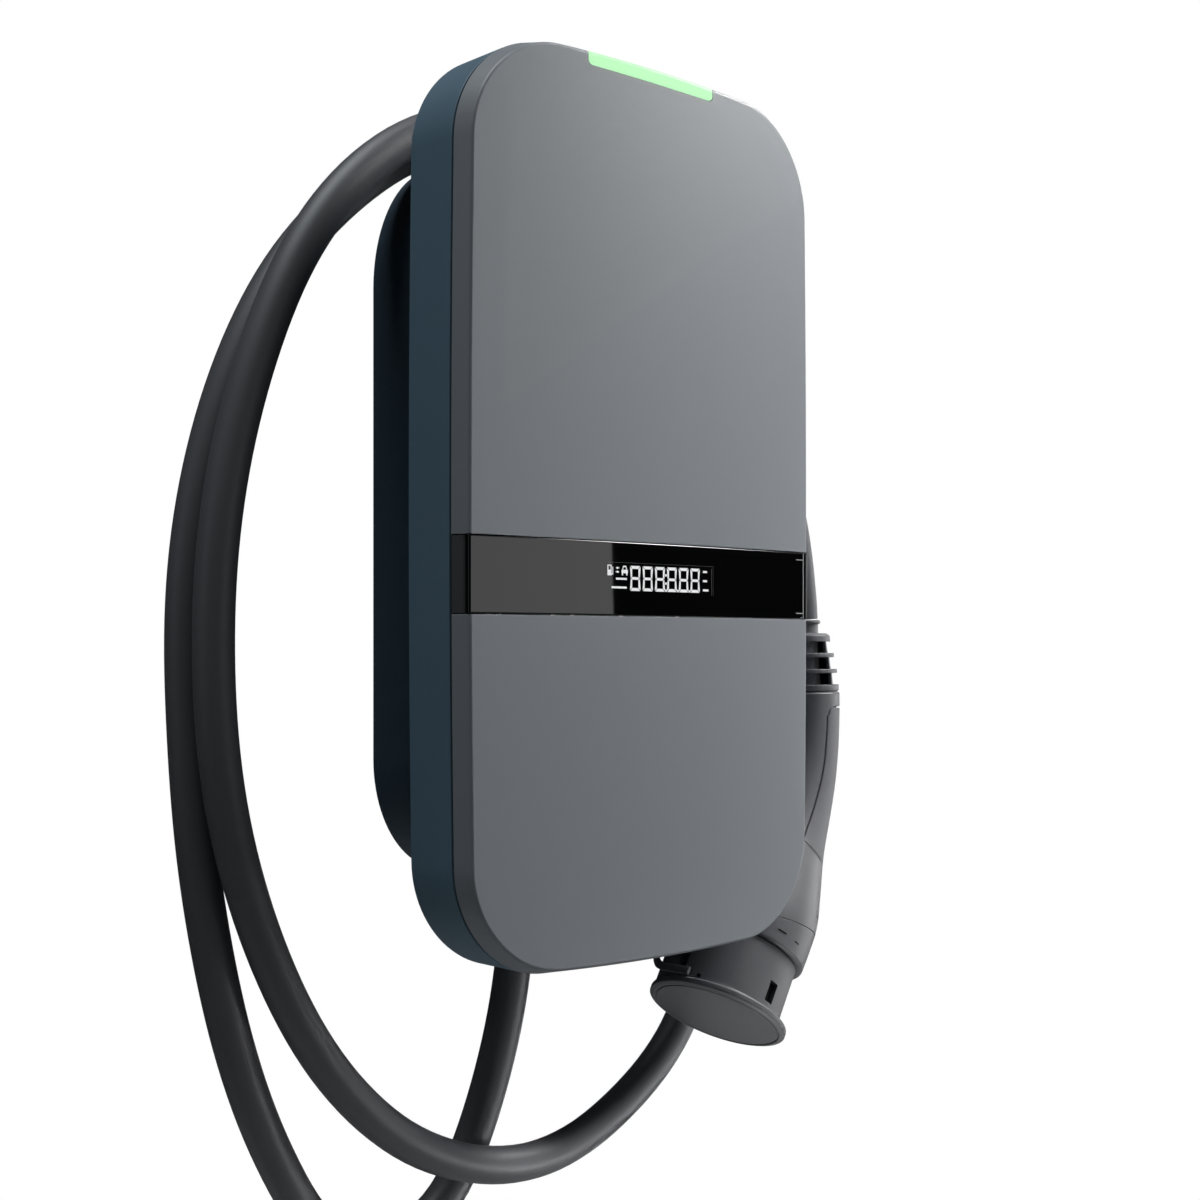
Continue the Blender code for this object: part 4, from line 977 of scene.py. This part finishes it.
# handle
C0 = Vector((HANDLE_X, HANDLE_Y, HANDLE_TOP))
C1 = Vector((HANDLE_X, HANDLE_Y, HANDLE_KNEE))
C3 = TIP + UP * S_HANDLE
C2 = C3 + UP * 45.0


def centre(t):
    return C0 * (1 - t) ** 3 + C1 * 3 * t * (1 - t) ** 2 + C2 * 3 * t * t * (1 - t) + C3 * t ** 3


def tangent(t):
    return ((C1 - C0) * (1 - t) ** 2 + (C2 - C1) * 2 * t * (1 - t) + (C3 - C2) * t * t).normalized()


RADII = [(-0.2, 20.0), (0.0, 20.3), (0.15, 20.9), (0.30, 21.8), (0.45, 22.9), (0.58, 24.6), (0.68, 27.0),
         (0.76, 29.2), (0.84, 31.2), (0.92, 33.2), (1.0, 34.4), (1.2, 36.0)]


def radius(t):
    """Smooth radius along the handle, through the given stations."""
    for i in range(1, len(RADII) - 2):
        t1, r1_ = RADII[i]
        t2, r2_ = RADII[i + 1]
        if t <= t2 + 1e-9:
            t0, r0_ = RADII[i - 1]
            t3, r3_ = RADII[i + 2]
            k = (t - t1) / (t2 - t1)
            m1 = (r2_ - r0_) / (t2 - t0) * (t2 - t1)
            m2 = (r3_ - r1_) / (t3 - t1) * (t2 - t1)
            return ((2 * k ** 3 - 3 * k * k + 1) * r1_ + (k ** 3 - 2 * k * k + k) * m1
                    + (-2 * k ** 3 + 3 * k * k) * r2_ + (k ** 3 - k * k) * m2)
    return RADII[-2][1]


def section(t, a, dr=0.0):
    w = -tangent(t)
    u = (Vector((1, 0, 0)) - w * w.x).normalized()
    v = w.cross(u)
    if v.y > 0:
        v = -v
    r = radius(t) + dr
    k = min(1.0, max(0.0, (t - 0.62) / 0.38))
    lean = TILT * k * k * (3 - 2 * k)
    return centre(t) + (u * cos(a) + v * sin(a)) * r + w * (lean * r * cos(a))


T0, T1, T2, T3 = 0.044, 0.645, 0.67, 0.93
RECESS = 1.8


def half(t):
    if t < T0 + 0.032:
        q = min(1.0, max(0.0, (T0 + 0.032 - t) / 0.032))
        return radians(95 - 14 * (1 - sqrt(max(0.0, 1 - q * q))))
    if t < T1:
        return radians(98 + 9 * max(0.0, (t - 0.25) / (T1 - 0.25)) ** 1.3)
    if t < T2:
        return radians(107 - 49 * (t - T1) / (T2 - T1))
    return radians(58 + 4 * (t - T2) / (T3 - T2))


stations = sorted({0.0, 0.003, T0 - 0.0028, T0, T1, T2, T3, T3 + 0.0028, 0.996, 1.0}
                  | {round(0.01 * i, 4) for i in range(1, 100)}
                  | {round(T0 + 0.004 * i, 4) for i in range(1, 9)})
n_in, n_out = 72, 72
rows = []
for t in stations:
    h = half(min(max(t, T0), T3))
    e = 0.12 / radius(t)
    aa = [-h + 2 * h * i / n_in for i in range(n_in + 1)]
    ab = [h + e + (2 * pi - 2 * h - 2 * e) * i / n_out for i in range(n_out + 1)]
    inside = T0 - 1e-6 <= t <= T3 + 1e-6
    tip = -0.45 if t in (0.0,) else 0.0
    rows.append([section(t, a, -RECESS if inside else tip) for a in aa] + [section(t, a, tip) for a in ab])
bm = bmesh.new()
vs = grid(bm, rows, close=True)
bm.faces.new(vs[0])
bm.faces.new(list(reversed(vs[-1])))
for i in range(len(stations) - 1):
    if T0 - 0.001 <= stations[i] and stations[i + 1] <= T3 + 0.001:
        for j in range(n_in):
            for fc in vs[i][j].link_faces:
                if vs[i + 1][j + 1] in fc.verts and vs[i][j + 1] in fc.verts:
                    fc.material_index = 1
hs = piece("connector_handle_shell", bm, MAT["handle"], angle=38, weighted=False)
hs.data.materials.append(MAT["dark_line"])
stands_for(hs, "connector_handle")

# grip inlay, its edges rolled under
tg = [T0 + 0.0030, T0 + 0.0036, T0 + 0.0052] + [t for t in stations if T0 + 0.006 < t < T3 - 0.006] \
    + [T3 - 0.0045, T3 - 0.0028, T3 - 0.0022]
bm = bmesh.new()
out_rows, in_rows = [], []
for i, t in enumerate(tg):
    h = half(t) - (0.70 if t < T1 else 0.85) / radius(t)
    e = 0.0 if 2 <= i <= len(tg) - 3 else (-0.12 if i in (1, len(tg) - 2) else -0.45)
    drs = [-0.45, -0.12] + [0.0] * (n_in - 3) + [-0.12, -0.45]
    st = [-h, -h + 0.12 / radius(t)] + [-h + 0.5 / radius(t) + (2 * h - 1.0 / radius(t)) * k / (n_in - 4)
                                        for k in range(n_in - 3)] + [h - 0.12 / radius(t), h]
    out_rows.append([section(t, a, min(q, e)) for a, q in zip(st, drs)])
    in_rows.append([section(t, a, -RECESS + GAP) for a in st])
o_ = grid(bm, out_rows)
i_ = grid(bm, in_rows)
m_, n_ = len(tg), len(out_rows[0])
for i in range(m_ - 1):
    for j in (0, n_ - 1):
        bm.faces.new((o_[i][j], o_[i + 1][j], i_[i + 1][j], i_[i][j]))
for j in range(n_ - 1):
    for i in (0, m_ - 1):
        bm.faces.new((o_[i][j], i_[i][j], i_[i][j + 1], o_[i][j + 1]))
stands_for(piece("grip_inlay_panel", bm, MAT["grip"], angle=60, weighted=False), "grip_inlay")

# strain relief
bm = bmesh.new()
prof = [(0, -43.2)]
prof += rounded([(8.8, -43.2), (10.0, -43.5), (10.0, -44.9), (8.85, -45.4), (8.85, -50.4), (13.2, -50.4),
                 (15.1, -51.6), (15.4, -54.8), (8.9, -54.8), (9.2, -61.0), (17.3, -61.0), (17.3, -63.2),
                 (9.4, -63.2), (9.8, -69.6), (19.0, -69.6), (19.0, -71.6), (10.0, -71.6), (10.5, -77.9),
                 (19.9, -77.9), (19.9, -80.9), (19.2, -81.3), (19.2, -81.7)], 0.4, 4)
prof += [(0, -81.7)]
add_turned(bm, prof, (HANDLE_X, HANDLE_Y, 0), (0, 0, 1), 96)
for mid in (0.0, pi):
    hw = radians(66.5)
    for z0_, z1_, ra, rb in ((-54.7, -61.1, 13.1, 14.1), (-63.1, -69.7, 14.8, 15.7), (-71.5, -78.0, 16.2, 16.8)):
        oa, ob_, ia, ib = [], [], [], []
        for k in range(41):
            a = mid - hw + 2 * hw * k / 40
            for lst, r, z in ((oa, ra, z0_), (ob_, rb, z1_), (ib, rb - 1.5, z1_), (ia, ra - 1.5, z0_)):
                lst.append((HANDLE_X + r * cos(a), HANDLE_Y + r * sin(a), z))
        g4 = grid(bm, [oa, ob_, ib, ia])
        for j in range(40):
            bm.faces.new((g4[3][j], g4[3][j + 1], g4[0][j + 1], g4[0][j]))
        for j in (0, 40):
            bm.faces.new([g4[0][j], g4[1][j], g4[2][j], g4[3][j]])
stands_for(piece("strain_relief_boot", bm, MAT["handle"], angle=35), "strain_relief")

# plug holder
CLIP_Z0, CLIP_Z1, CLIP_X = -100.0, -86.0, HANDLE_X - 0.4
r0, r1 = 22.2, 25.0
A0, A1 = 30.0, 218.0
bm = bmesh.new()
loops = []
for i in range(65):
    a = radians(A0 + (A1 - A0) * i / 64)
    c = 0.5
    loops.append([(CLIP_X + r * cos(a), HANDLE_Y + r * sin(a), z) for r, z in (
        (r0, CLIP_Z0 + c), (r0 + c, CLIP_Z0), (r1 - c, CLIP_Z0), (r1, CLIP_Z0 + c), (r1, CLIP_Z1 - c),
        (r1 - c, CLIP_Z1), (r0 + c, CLIP_Z1), (r0, CLIP_Z1 - c))])
vs = grid(bm, loops, close=True)
bm.faces.new(vs[0])
bm.faces.new(list(reversed(vs[-1])))
side = BOX_HW
pts = [(side + GAP, -66), (side + 3.5, -66), (side + 3.5, -54), (side + 14, -47),
       (HANDLE_X - 23.0, -47), (HANDLE_X - 23.0, -39), (side + 14, -39),
       (side + 3.5, -32), (side + 3.5, -20), (side + GAP, -20)]
lo = [bm.verts.new((x * MM, y * MM, (CLIP_Z0 + 1.0) * MM)) for x, y in pts]
hi = [bm.verts.new((x * MM, y * MM, (CLIP_Z1 - 1.0) * MM)) for x, y in pts]
bridge(bm, lo, hi)
bm.faces.new(lo)
bm.faces.new(hi)
add_box(bm, (side + 14, -46.2, CLIP_Z0 + 4.5), (HANDLE_X - 25.5, -39.8, CLIP_Z1 - 4.5), 0.5)
stands_for(piece("plug_holder_arm", bm, MAT["mod_dark"], bevel=0.5, seg=2, limit=50), "plug_holder")

# ------------------------------------------------------------------ wall bracket and screws
bm = bmesh.new()
hexa = [(-44, -128), (44, -128), (50, -122), (50, 122), (44, 128), (-44, 128), (-50, 122), (-50, -122)]
lo = [bm.verts.new((x * MM, 0.0, z * MM)) for x, z in hexa]
hi = [bm.verts.new((x * MM, -0.0032, z * MM)) for x, z in hexa]
bridge(bm, lo, hi)
bm.faces.new(lo)
bm.faces.new(hi)
plate_ = piece("bracket_plate", bm, MAT["steel"], bevel=0.45, seg=3)
SCREW_AT = [(-36, 110), (36, 110), (-36, -110), (36, -110)]
cb = bmesh.new()
for x, z in SCREW_AT:
    add_turned(cb, [(2.9, -6), (2.9, 6)], (x, 0, z), (0, 1, 0), 40)
for x in (-24, 0, 24):                      # pressed stiffening channels
    n = 12
    prof = []
    for k in range(n + 1):
        a = pi * k / n
        prof.append((x + 4.0 * cos(a), 78 + 4.0 * sin(a)))
    for k in range(n + 1):
        a = pi + pi * k / n
        prof.append((x + 4.0 * cos(a), -78 + 4.0 * sin(a)))
    r0 = [cb.verts.new((px * MM, 0.002, pz * MM)) for px, pz in prof]
    r1 = [cb.verts.new((px * MM, -0.0009, pz * MM)) for px, pz in prof]
    bridge(cb, r0, r1)
    cb.faces.new(r0)
    cb.faces.new(r1)
carve(plate_, solid("bracket_cuts", cb))
stands_for(plate_, "wall_bracket")
for i, (x, z) in enumerate(SCREW_AT):
    bm = bmesh.new()
    add_turned(bm, rounded([(0, 0.0), (2.0, 0.0), (2.5, 0.5), (2.5, 3.5), (4.6, 3.5), (4.6, 3.75), (4.0, 4.1),
                            (2.1, 4.1), (2.0, 3.0), (0, 3.0)], 0.2), (x, 0, z), (0, -1, 0), 48,
               twist=lambda a, t: 1.0)
    stands_for(piece("wall_fixing_%d" % (i + 1), bm, MAT["screw"]), "wall_screw_%d" % (i + 1))


def star(a, r):
    """Six-lobed driver recess."""
    return r * (1.0 + 0.16 * cos(6 * a))


for i, (x, z) in enumerate([(-84, 150), (84, 150), (-84, -150), (84, -150)]):
    bm = bmesh.new()
    y0 = Y_HOUSING_REAR + 2.5
    rows = []
    for r, d, s in ((0.001, 1.0, 0), (1.15, 1.0, 1), (1.25, -0.02, 1), (1.9, 0.0, 0), (2.6, 0.12, 0),
                    (3.4, 0.45, 0), (3.95, 0.95, 0), (4.2, 1.5, 0), (4.2, 2.2, 0), (0.001, 2.2, 0)):
        row = []
        for k in range(60):
            a = 2 * pi * k / 60
            q = star(a, r) if s else r
            row.append((x + q * cos(a), y0 - d, z + q * sin(a)))
        rows.append(row)
    grid(bm, rows, close=True)
    stands_for(piece("cover_fixing_%d" % (i + 1), bm, MAT["screw"], angle=30), "cover_screw_%d" % (i + 1))

# ------------------------------------------------------------------ inside
for i, (x, z) in enumerate([(-70, 120), (70, 120), (-70, -58), (70, -58)]):
    bm = bmesh.new()
    y0 = Y_HOUSING_REAR - WALL_T - GAP
    add_turned(bm, rounded([(0, 0), (3.15, 0), (3.15, 12.1), (0, 12.1)], 0.3), (x, y0, z), (0, -1, 0), 6)
    stands_for(piece("pillar_%d" % (i + 1), bm, MAT["steel"], angle=25), "board_standoff_%d" % (i + 1))
    bm = bmesh.new()
    add_turned(bm, rounded([(0, 0), (3.0, 0), (3.0, 1.0), (2.2, 1.9), (1.0, 2.1), (0.9, 1.2), (0, 1.2)], 0.25),
               (x, -97.65, z), (0, -1, 0), 40)
    extra(piece("board_screw_%d" % (i + 1), bm, MAT["screw"]))

YB = -97.62                                  # front face of the control board
chips, nylon, cans, smd, copper = (bmesh.new() for _ in range(5))
for x0, z0, w, h, t in ((8, 20, 22, 22, 1.6), (38, 30, 14, 14, 1.4), (-14, 24, 12, 18, 1.8), (30, -14, 10, 6, 1.4),
                        (46, -14, 10, 6, 1.4), (-52, -40, 12, 8, 2.0), (44, 76, 14, 20, 2.0), (24, 98, 18, 10, 1.6),
                        (-66, 84, 10, 14, 1.8)):
    add_box(chips, (x0, YB - t - 0.15, z0), (x0 + w, YB - 0.15, z0 + h), 0.25, 2)
    n = int(w / 1.3)
    for k in range(n):                       # gull-wing leads on two sides
        px = x0 + 1.0 + (w - 2.0) * k / max(n - 1, 1)
        for s, zz in ((-1, z0), (1, z0 + h)):
            add_box(smd, (px - 0.22, YB - 0.7, min(zz, zz + s * 1.1)), (px + 0.22, YB - 0.02, max(zz, zz + s * 1.1)),
                    0.05, 1)
for x0, z0, w in ((-62, -64, 30), (-26, -64, 24), (4, -64, 36), (46, -64, 18), (-60, 108, 26), (-20, 112, 16)):
    add_box(nylon, (x0, YB - 9.0, z0), (x0 + w, YB - 0.05, z0 + 9.0), 0.5, 2)
    n = int(w / 3.96)
    for k in range(n):
        px = x0 + (k + 0.5) * w / n
        add_box(chips, (px - 0.9, YB - 9.15, z0 + 2.2), (px + 0.9, YB - 9.0, z0 + 6.6), 0.05, 1)
for x, z, r, h in ((-44, 84, 5.0, 12.5), (-31, 84, 5.0, 12.5), (-44, 98, 4.0, 10.0), (58, 52, 4.0, 9.0),
                   (58, 64, 4.0, 9.0), (-8, -4, 3.2, 7.0), (2, -4, 3.2, 7.0), (-66, -10, 5.0, 12.0),
                   (-66, 4, 5.0, 12.0)):
    add_turned(cans, rounded([(r, 0.1), (r, 1.2), (r * 0.93, 1.7), (r, 2.2), (r, h), (r * 0.8, h), (r * 0.78, h - 0.25),
                              (0, h - 0.25)], 0.3), (x, YB, z), (0, -1, 0), 40)
for i in range(90):                          # small chip parts in loose rows
    gx, gz = i % 15, i // 15
    x = -70 + gx * 9.7 + 1.9 * sin(i * 2.1)
    z = -46 + gz * 27.5 + 2.6 * cos(i * 1.7)
    if (-64 < x < -18 and 14 < z < 70) or (-18 < x < 18 and 54 < z < 94):
        continue
    w, h = (1.0, 0.55) if i % 3 else (0.6, 1.3)
    add_box(smd, (x - w, YB - 0.9, z - h), (x + w, YB - 0.05, z + h), 0.08, 1)
for k in range(5):                           # turns of the card reader's aerial
    q = 3.0 + 1.6 * k
    x1, z0_, z1_ = 32 - q, -120 + q, -62 - q
    for lo, hi in (((-x1, z0_), (x1, z0_ + 0.7)), ((-x1, z1_ - 0.7), (x1, z1_)), ((-x1, z0_), (-x1 + 0.7, z1_)),
                   ((x1 - 0.7, z0_), (x1, z1_))):
        add_box(copper, (lo[0], -114.68, lo[1]), (hi[0], -114.6, hi[1]), 0.02, 1)
add_box(chips, (-6, -115.6, -97), (6, -114.65, -85), 0.2, 1)
for i in range(6):                           # light bar's emitters
    x = -31.5 + 11 * i
    add_box(nylon, (x - 1.4, -112.5, 179.2), (x + 1.4, -111.82, 182.0), 0.15, 1)
extra(piece("board_chips", chips, MAT["chip"], angle=30))
extra(piece("board_connectors", nylon, MAT["cream"], angle=30))
extra(piece("board_capacitors", cans, MAT["can"], angle=30))
extra(piece("board_small_parts", smd, MAT["steel"], angle=30))
extra(piece("aerial_tracks", copper, brushed("copper_track", (0.80, 0.45, 0.28), 0.3, (1, 1, 1), 3.0), angle=30))

# shield can with its spot-welded lid, relay with vent and label recess
bm = bmesh.new()
add_box(bm, (-14, -101.0, 60), (14, -97.9, 90), 0.5, 3)
add_box(bm, (-12.4, -101.25, 61.6), (12.4, -100.95, 88.4), 0.12, 1)
for k in range(5):
    for s in (-1, 1):
        add_turned(bm, [(0.9, 0.0), (0.7, 0.12), (0, 0.12)], (s * 10.6, -101.25, 64 + k * 5.5), (0, -1, 0), 16)
stands_for(piece("radio_shield", bm, MAT["steel"], angle=30), "radio_module")
bm = bmesh.new()
add_box(bm, (-60, -112.0, 20), (-22, -97.9, 66), 1.0, 3)
add_box(bm, (-57, -112.25, 40), (-25, -111.95, 62), 0.12, 1)
for k in range(6):
    add_box(bm, (-54 + k * 4.8, -112.3, 25), (-52.2 + k * 4.8, -111.9, 34), 0.12, 1)
stands_for(piece("relay_case", bm, MAT["mod_dark"], angle=30), "power_relay")

# ribbon from the control board to the display board
bm = bmesh.new()
for k in range(14):
    x = -12 + k * 1.27
    rows = []
    for i in range(17):
        t = i / 16
        y = -98.6 - 13.0 * t
        z = -24.0 - 8.0 * sin(pi * t)
        rows.append([(x + 0.55 * cos(a), y, z + 0.45 * sin(a)) for a in (2 * pi * j / 8 for j in range(8))])
    v_ = grid(bm, rows, close=True)
    bm.faces.new(v_[0])
    bm.faces.new(list(reversed(v_[-1])))
extra(piece("display_ribbon", bm, MAT["mod_grey"], angle=60))

# rail modules: stepped cases with a lever and terminal wells
for nm, node, x0, x1, mt in (("meter_case", "energy_meter", -52, -17, "mod_grey"),
                             ("contactor_case", "contactor", -16.2, 19.8, "mod_dark"),
                             ("monitor_case", "fault_current_monitor", 20.6, 38.4, "mod_grey"),
                             ("supply_case", "power_supply", 39.2, 55.4, "mod_dark")):
    bm = bmesh.new()
    pts = [(-15.8, -12), (-15.8, 78), (-58, 78), (-58, 56), (-74, 56), (-74, 10), (-58, 10), (-58, -12)]
    lo = [bm.verts.new((x0 * MM, y * MM, z * MM)) for y, z in pts]
    hi = [bm.verts.new((x1 * MM, y * MM, z * MM)) for y, z in pts]
    bridge(bm, lo, hi)
    bm.faces.new(lo)
    bm.faces.new(hi)
    xm = (x0 + x1) / 2
    add_box(bm, (xm - 4, -75.0, 20), (xm + 4, -73.9, 30), 0.3, 1)
    for s in (62, 68):
        add_box(bm, (x0 + 3, -58.4, s), (x1 - 3, -57.9, s + 3), 0.15, 1)
    stands_for(piece(nm, bm, MAT[mt], bevel=0.7, seg=3, limit=30), node)

# terminal block with its screws
bm = bmesh.new()
comb = [(-44, -52), (-44, -22)]
for i in range(5):
    x = -40 + i * 17
    comb += [(x, -22), (x, -32), (x + 10, -32), (x + 10, -22)]
comb += [(44, -22), (44, -52)]
lo = [bm.verts.new((x * MM, y * MM, -0.092)) for x, y in comb]
hi = [bm.verts.new((x * MM, y * MM, -0.064)) for x, y in comb]
bridge(bm, lo, hi)
bm.faces.new(lo)
bm.faces.new(hi)
stands_for(piece("terminal_strip", bm, MAT["mod_grey"], bevel=0.4, seg=2, limit=30), "terminal_block")
bm = bmesh.new()
for i in range(5):
    add_turned(bm, rounded([(0, 0.3), (3.0, 0.3), (3.0, 0.9), (0, 0.9)], 0.25), (-35 + 17 * i, -51.8, -78), (0, -1, 0),
               32)
    add_box(bm, (-37.6 + 17 * i, -52.85, -78.35), (-32.4 + 17 * i, -52.6, -77.65), 0.08, 1)
extra(piece("terminal_screws", bm, MAT["screw"], angle=30))


# ------------------------------------------------------------------ charging cable
RELIEF_TOP = -43.2 + GAP
UTURN = [(-69.0 + 51.5 * cos(radians(a)), -14.6, -280.5 + 51.5 * sin(radians(a)))
         for a in (-40, -65, -90, -115, -142)]
ROUTE = [(GLAND_X, GLAND_Y, EXIT_Z), (-9.3, -33.6, -212), (-10.4, -31.0, -228), (-12.6, -26.5, -249),
         (-15.9, -21, -273), (-21.0, -16.8, -292)] + UTURN + [
    (-119.4, -15, -292.5), (-130.1, -15, -274), (-139.6, -15, -250.8),
    (-147.3, -15, -228.3), (-153.2, -15, -206.3), (-164, -15, -150), (-169, -15, -92),
    (-170, -15, -38), (-163, -15, 13), (-146, -15, 66), (-119, -15, 114), (-79.5, -15, 153.5),
    (-42, -15, 177.2), (0, -15, 182), (42, -14, 178.3), (82, -13, 154.5), (112, -12, 118),
    (132, -11, 72), (143, -10, 22), (148, -10, -32), (149, -10, -86), (148, -10, -140),
    (145, -10.5, -190), (136, -12.5, -236), (112, -15.5, -268), (70, -20, -292), (28, -28, -302.5),
    (-16, -34, -301), (-66, -33, -282.5), (-106.5, -32, -246), (-131.8, -32, -207),
    (-151.8, -32.3, -160), (-163.6, -32.6, -112), (-167.4, -32.7, -55), (-163.7, -32.7, -2),
    (-150.2, -32.7, 55),
    (-123.6, -32.7, 115.5), (-86, -32.7, 158.8), (-45, -32.9, 181.8), (-2, -33.4, 189.8),
    (42, -34.6, 185.6),
    (84, -37, 163), (118, -39.5, 128), (146.5, -42, 86), (166.5, -44.6, 38), (177.6, -46.8, -4),
    (HANDLE_X, HANDLE_Y, RELIEF_TOP)]


def smooth_route(pts, spacing):
    """Centripetal spline through the route's points, read at even spacing."""
    p = [Vector(q) for q in pts]
    p = [Vector((GLAND_X, GLAND_Y, EXIT_Z + 24))] + p + [Vector((HANDLE_X, HANDLE_Y, RELIEF_TOP - 30))]
    fine = []
    for i in range(1, len(p) - 2):
        q0, q1, q2, q3 = p[i - 1], p[i], p[i + 1], p[i + 2]
        t0 = 0.0
        t1 = t0 + sqrt((q1 - q0).length)
        t2 = t1 + sqrt((q2 - q1).length)
        t3 = t2 + sqrt((q3 - q2).length)
        for j in range(12):
            t = t1 + (t2 - t1) * j / 12
            a1 = q0 * ((t1 - t) / (t1 - t0)) + q1 * ((t - t0) / (t1 - t0))
            a2 = q1 * ((t2 - t) / (t2 - t1)) + q2 * ((t - t1) / (t2 - t1))
            a3 = q2 * ((t3 - t) / (t3 - t2)) + q3 * ((t - t2) / (t3 - t2))
            b1 = a1 * ((t2 - t) / (t2 - t0)) + a2 * ((t - t0) / (t2 - t0))
            b2 = a2 * ((t3 - t) / (t3 - t1)) + a3 * ((t - t1) / (t3 - t1))
            fine.append(b1 * ((t2 - t) / (t2 - t1)) + b2 * ((t - t1) / (t2 - t1)))
    fine.append(p[-2])
    run = [0.0]
    for a, b in zip(fine, fine[1:]):
        run.append(run[-1] + (b - a).length)
    count = int(run[-1] / spacing)
    out, k = [], 0
    for i in range(count + 1):
        s = run[-1] * i / count
        while k < len(run) - 2 and run[k + 1] < s:
            k += 1
        f = (s - run[k]) / max(run[k + 1] - run[k], 1e-9)
        out.append(fine[k].lerp(fine[k + 1], f))
    return out


line = smooth_route(ROUTE, 7.0)
# ease the small changes of curvature between the waypoints
for _ in range(14):
    line = [line[0], line[1]] + [(line[i - 1] + line[i] * 2 + line[i + 1]) / 4
                                 for i in range(2, len(line) - 2)] + [line[-2], line[-1]]
cu = bpy.data.curves.new("charging_lead", "CURVE")
cu.dimensions = "3D"
cu.bevel_depth = CABLE_D / 2 * MM
cu.bevel_resolution = 10
cu.use_fill_caps = True
sp = cu.splines.new("POLY")
sp.points.add(len(line) - 1)
for q, v in zip(sp.points, line):
    q.co = (v.x * MM, v.y * MM, v.z * MM, 1.0)
sp.use_smooth = True
lead = bpy.data.objects.new("charging_lead", cu)
bpy.context.scene.collection.objects.link(lead)
cu.materials.append(MAT["cable"])
stands_for(lead, "charging_cable")


# ------------------------------------------------------------------ studio
floor_me = bpy.data.meshes.new("floor")
bm = bmesh.new()
bmesh.ops.create_circle(bm, cap_ends=True, segments=96, radius=1.15)
bm.to_mesh(floor_me)
bm.free()
floor = bpy.data.objects.new("floor", floor_me)
floor.location = (0.0, -0.1, -0.95)
bpy.context.scene.collection.objects.link(floor)
fl = Mat("floor_pale")
fl.set(base=fl.mix(fl.span(fl.noise(3.0), 0.0, 1.0), (0.80, 0.80, 0.80), (0.84, 0.84, 0.84)),
       rough=0.8)
floor_me.materials.append(fl.m)

world = bpy.data.worlds.new("studio")
bpy.context.scene.world = world
world.use_nodes = True
wt = world.node_tree
bg = wt.nodes["Background"]
bg.inputs["Color"].default_value = (0.82, 0.88, 1.0, 1.0)
bg.inputs["Strength"].default_value = 0.015
bg2 = wt.nodes.new("ShaderNodeBackground")
bg2.inputs["Color"].default_value = (1.0, 1.0, 1.0, 1.0)
bg2.inputs["Strength"].default_value = 1.0
lp = wt.nodes.new("ShaderNodeLightPath")
mx = wt.nodes.new("ShaderNodeMixShader")
wt.links.new(lp.outputs["Is Camera Ray"], mx.inputs["Fac"])
wt.links.new(bg.outputs["Background"], mx.inputs[1])
wt.links.new(bg2.outputs["Background"], mx.inputs[2])
wt.links.new(mx.outputs["Shader"], wt.nodes["World Output"].inputs["Surface"])
bpy.context.scene.view_settings.view_transform = "Standard"


def area(name, loc, target, size, power, color=(1, 1, 1), spread=180.0):
    d = bpy.data.lights.new(name, "AREA")
    d.shape = "RECTANGLE"
    d.size, d.size_y = size
    d.energy = power
    d.color = color
    d.spread = radians(spread)
    o = bpy.data.objects.new(name, d)
    o.location = loc
    o.rotation_euler = (Vector(target) - Vector(loc)).to_track_quat("-Z", "Y").to_euler()
    o.visible_camera = False
    bpy.context.scene.collection.objects.link(o)
    return o


area("key", (1.05, -0.62, 0.92), (0.12, -0.12, 0.07), (0.45, 0.45), 1.5, spread=34.0)
area("key_wide", (1.05, -0.62, 0.92), (0.02, -0.1, 0.05), (0.6, 0.6), 4.3)
area("front_soft", (0.9, -1.7, 1.1), (0, -0.1, 0.1), (1.0, 0.6), 2.0)
area("top", (-0.45, -0.10, 1.35), (0, -0.08, 0.15), (0.8, 0.6), 12.5, (0.94, 0.98, 1.0))
area("left_side", (-1.8, 0.10, 0.35), (0, -0.05, 0), (0.6, 1.3), 1.8, (0.86, 0.96, 1.0))
area("right_side", (1.5, -0.30, -0.20), (0.15, -0.05, -0.10), (0.6, 0.9), 6.0)
area("low_right", (0.9, -0.9, -0.75), (0.12, -0.02, -0.405), (0.25, 0.25), 0.22, spread=18.0)
area("cap_fill", (0.10, -0.15, -0.62), (0.11, -0.09, -0.26), (0.08, 0.08), 0.011, spread=20.0)
# upright softbox that shows in the left part of the window
R_CARD = 2.6
A_CARD = 25.6
card = area("window_card", (R_CARD * sin(radians(A_CARD)), -0.12 - R_CARD * cos(radians(A_CARD)), 0.06),
            (0, -0.12, -0.02), (1.30, 0.75), 4.6)
card.rotation_euler.rotate_axis("Z", radians(3.5))
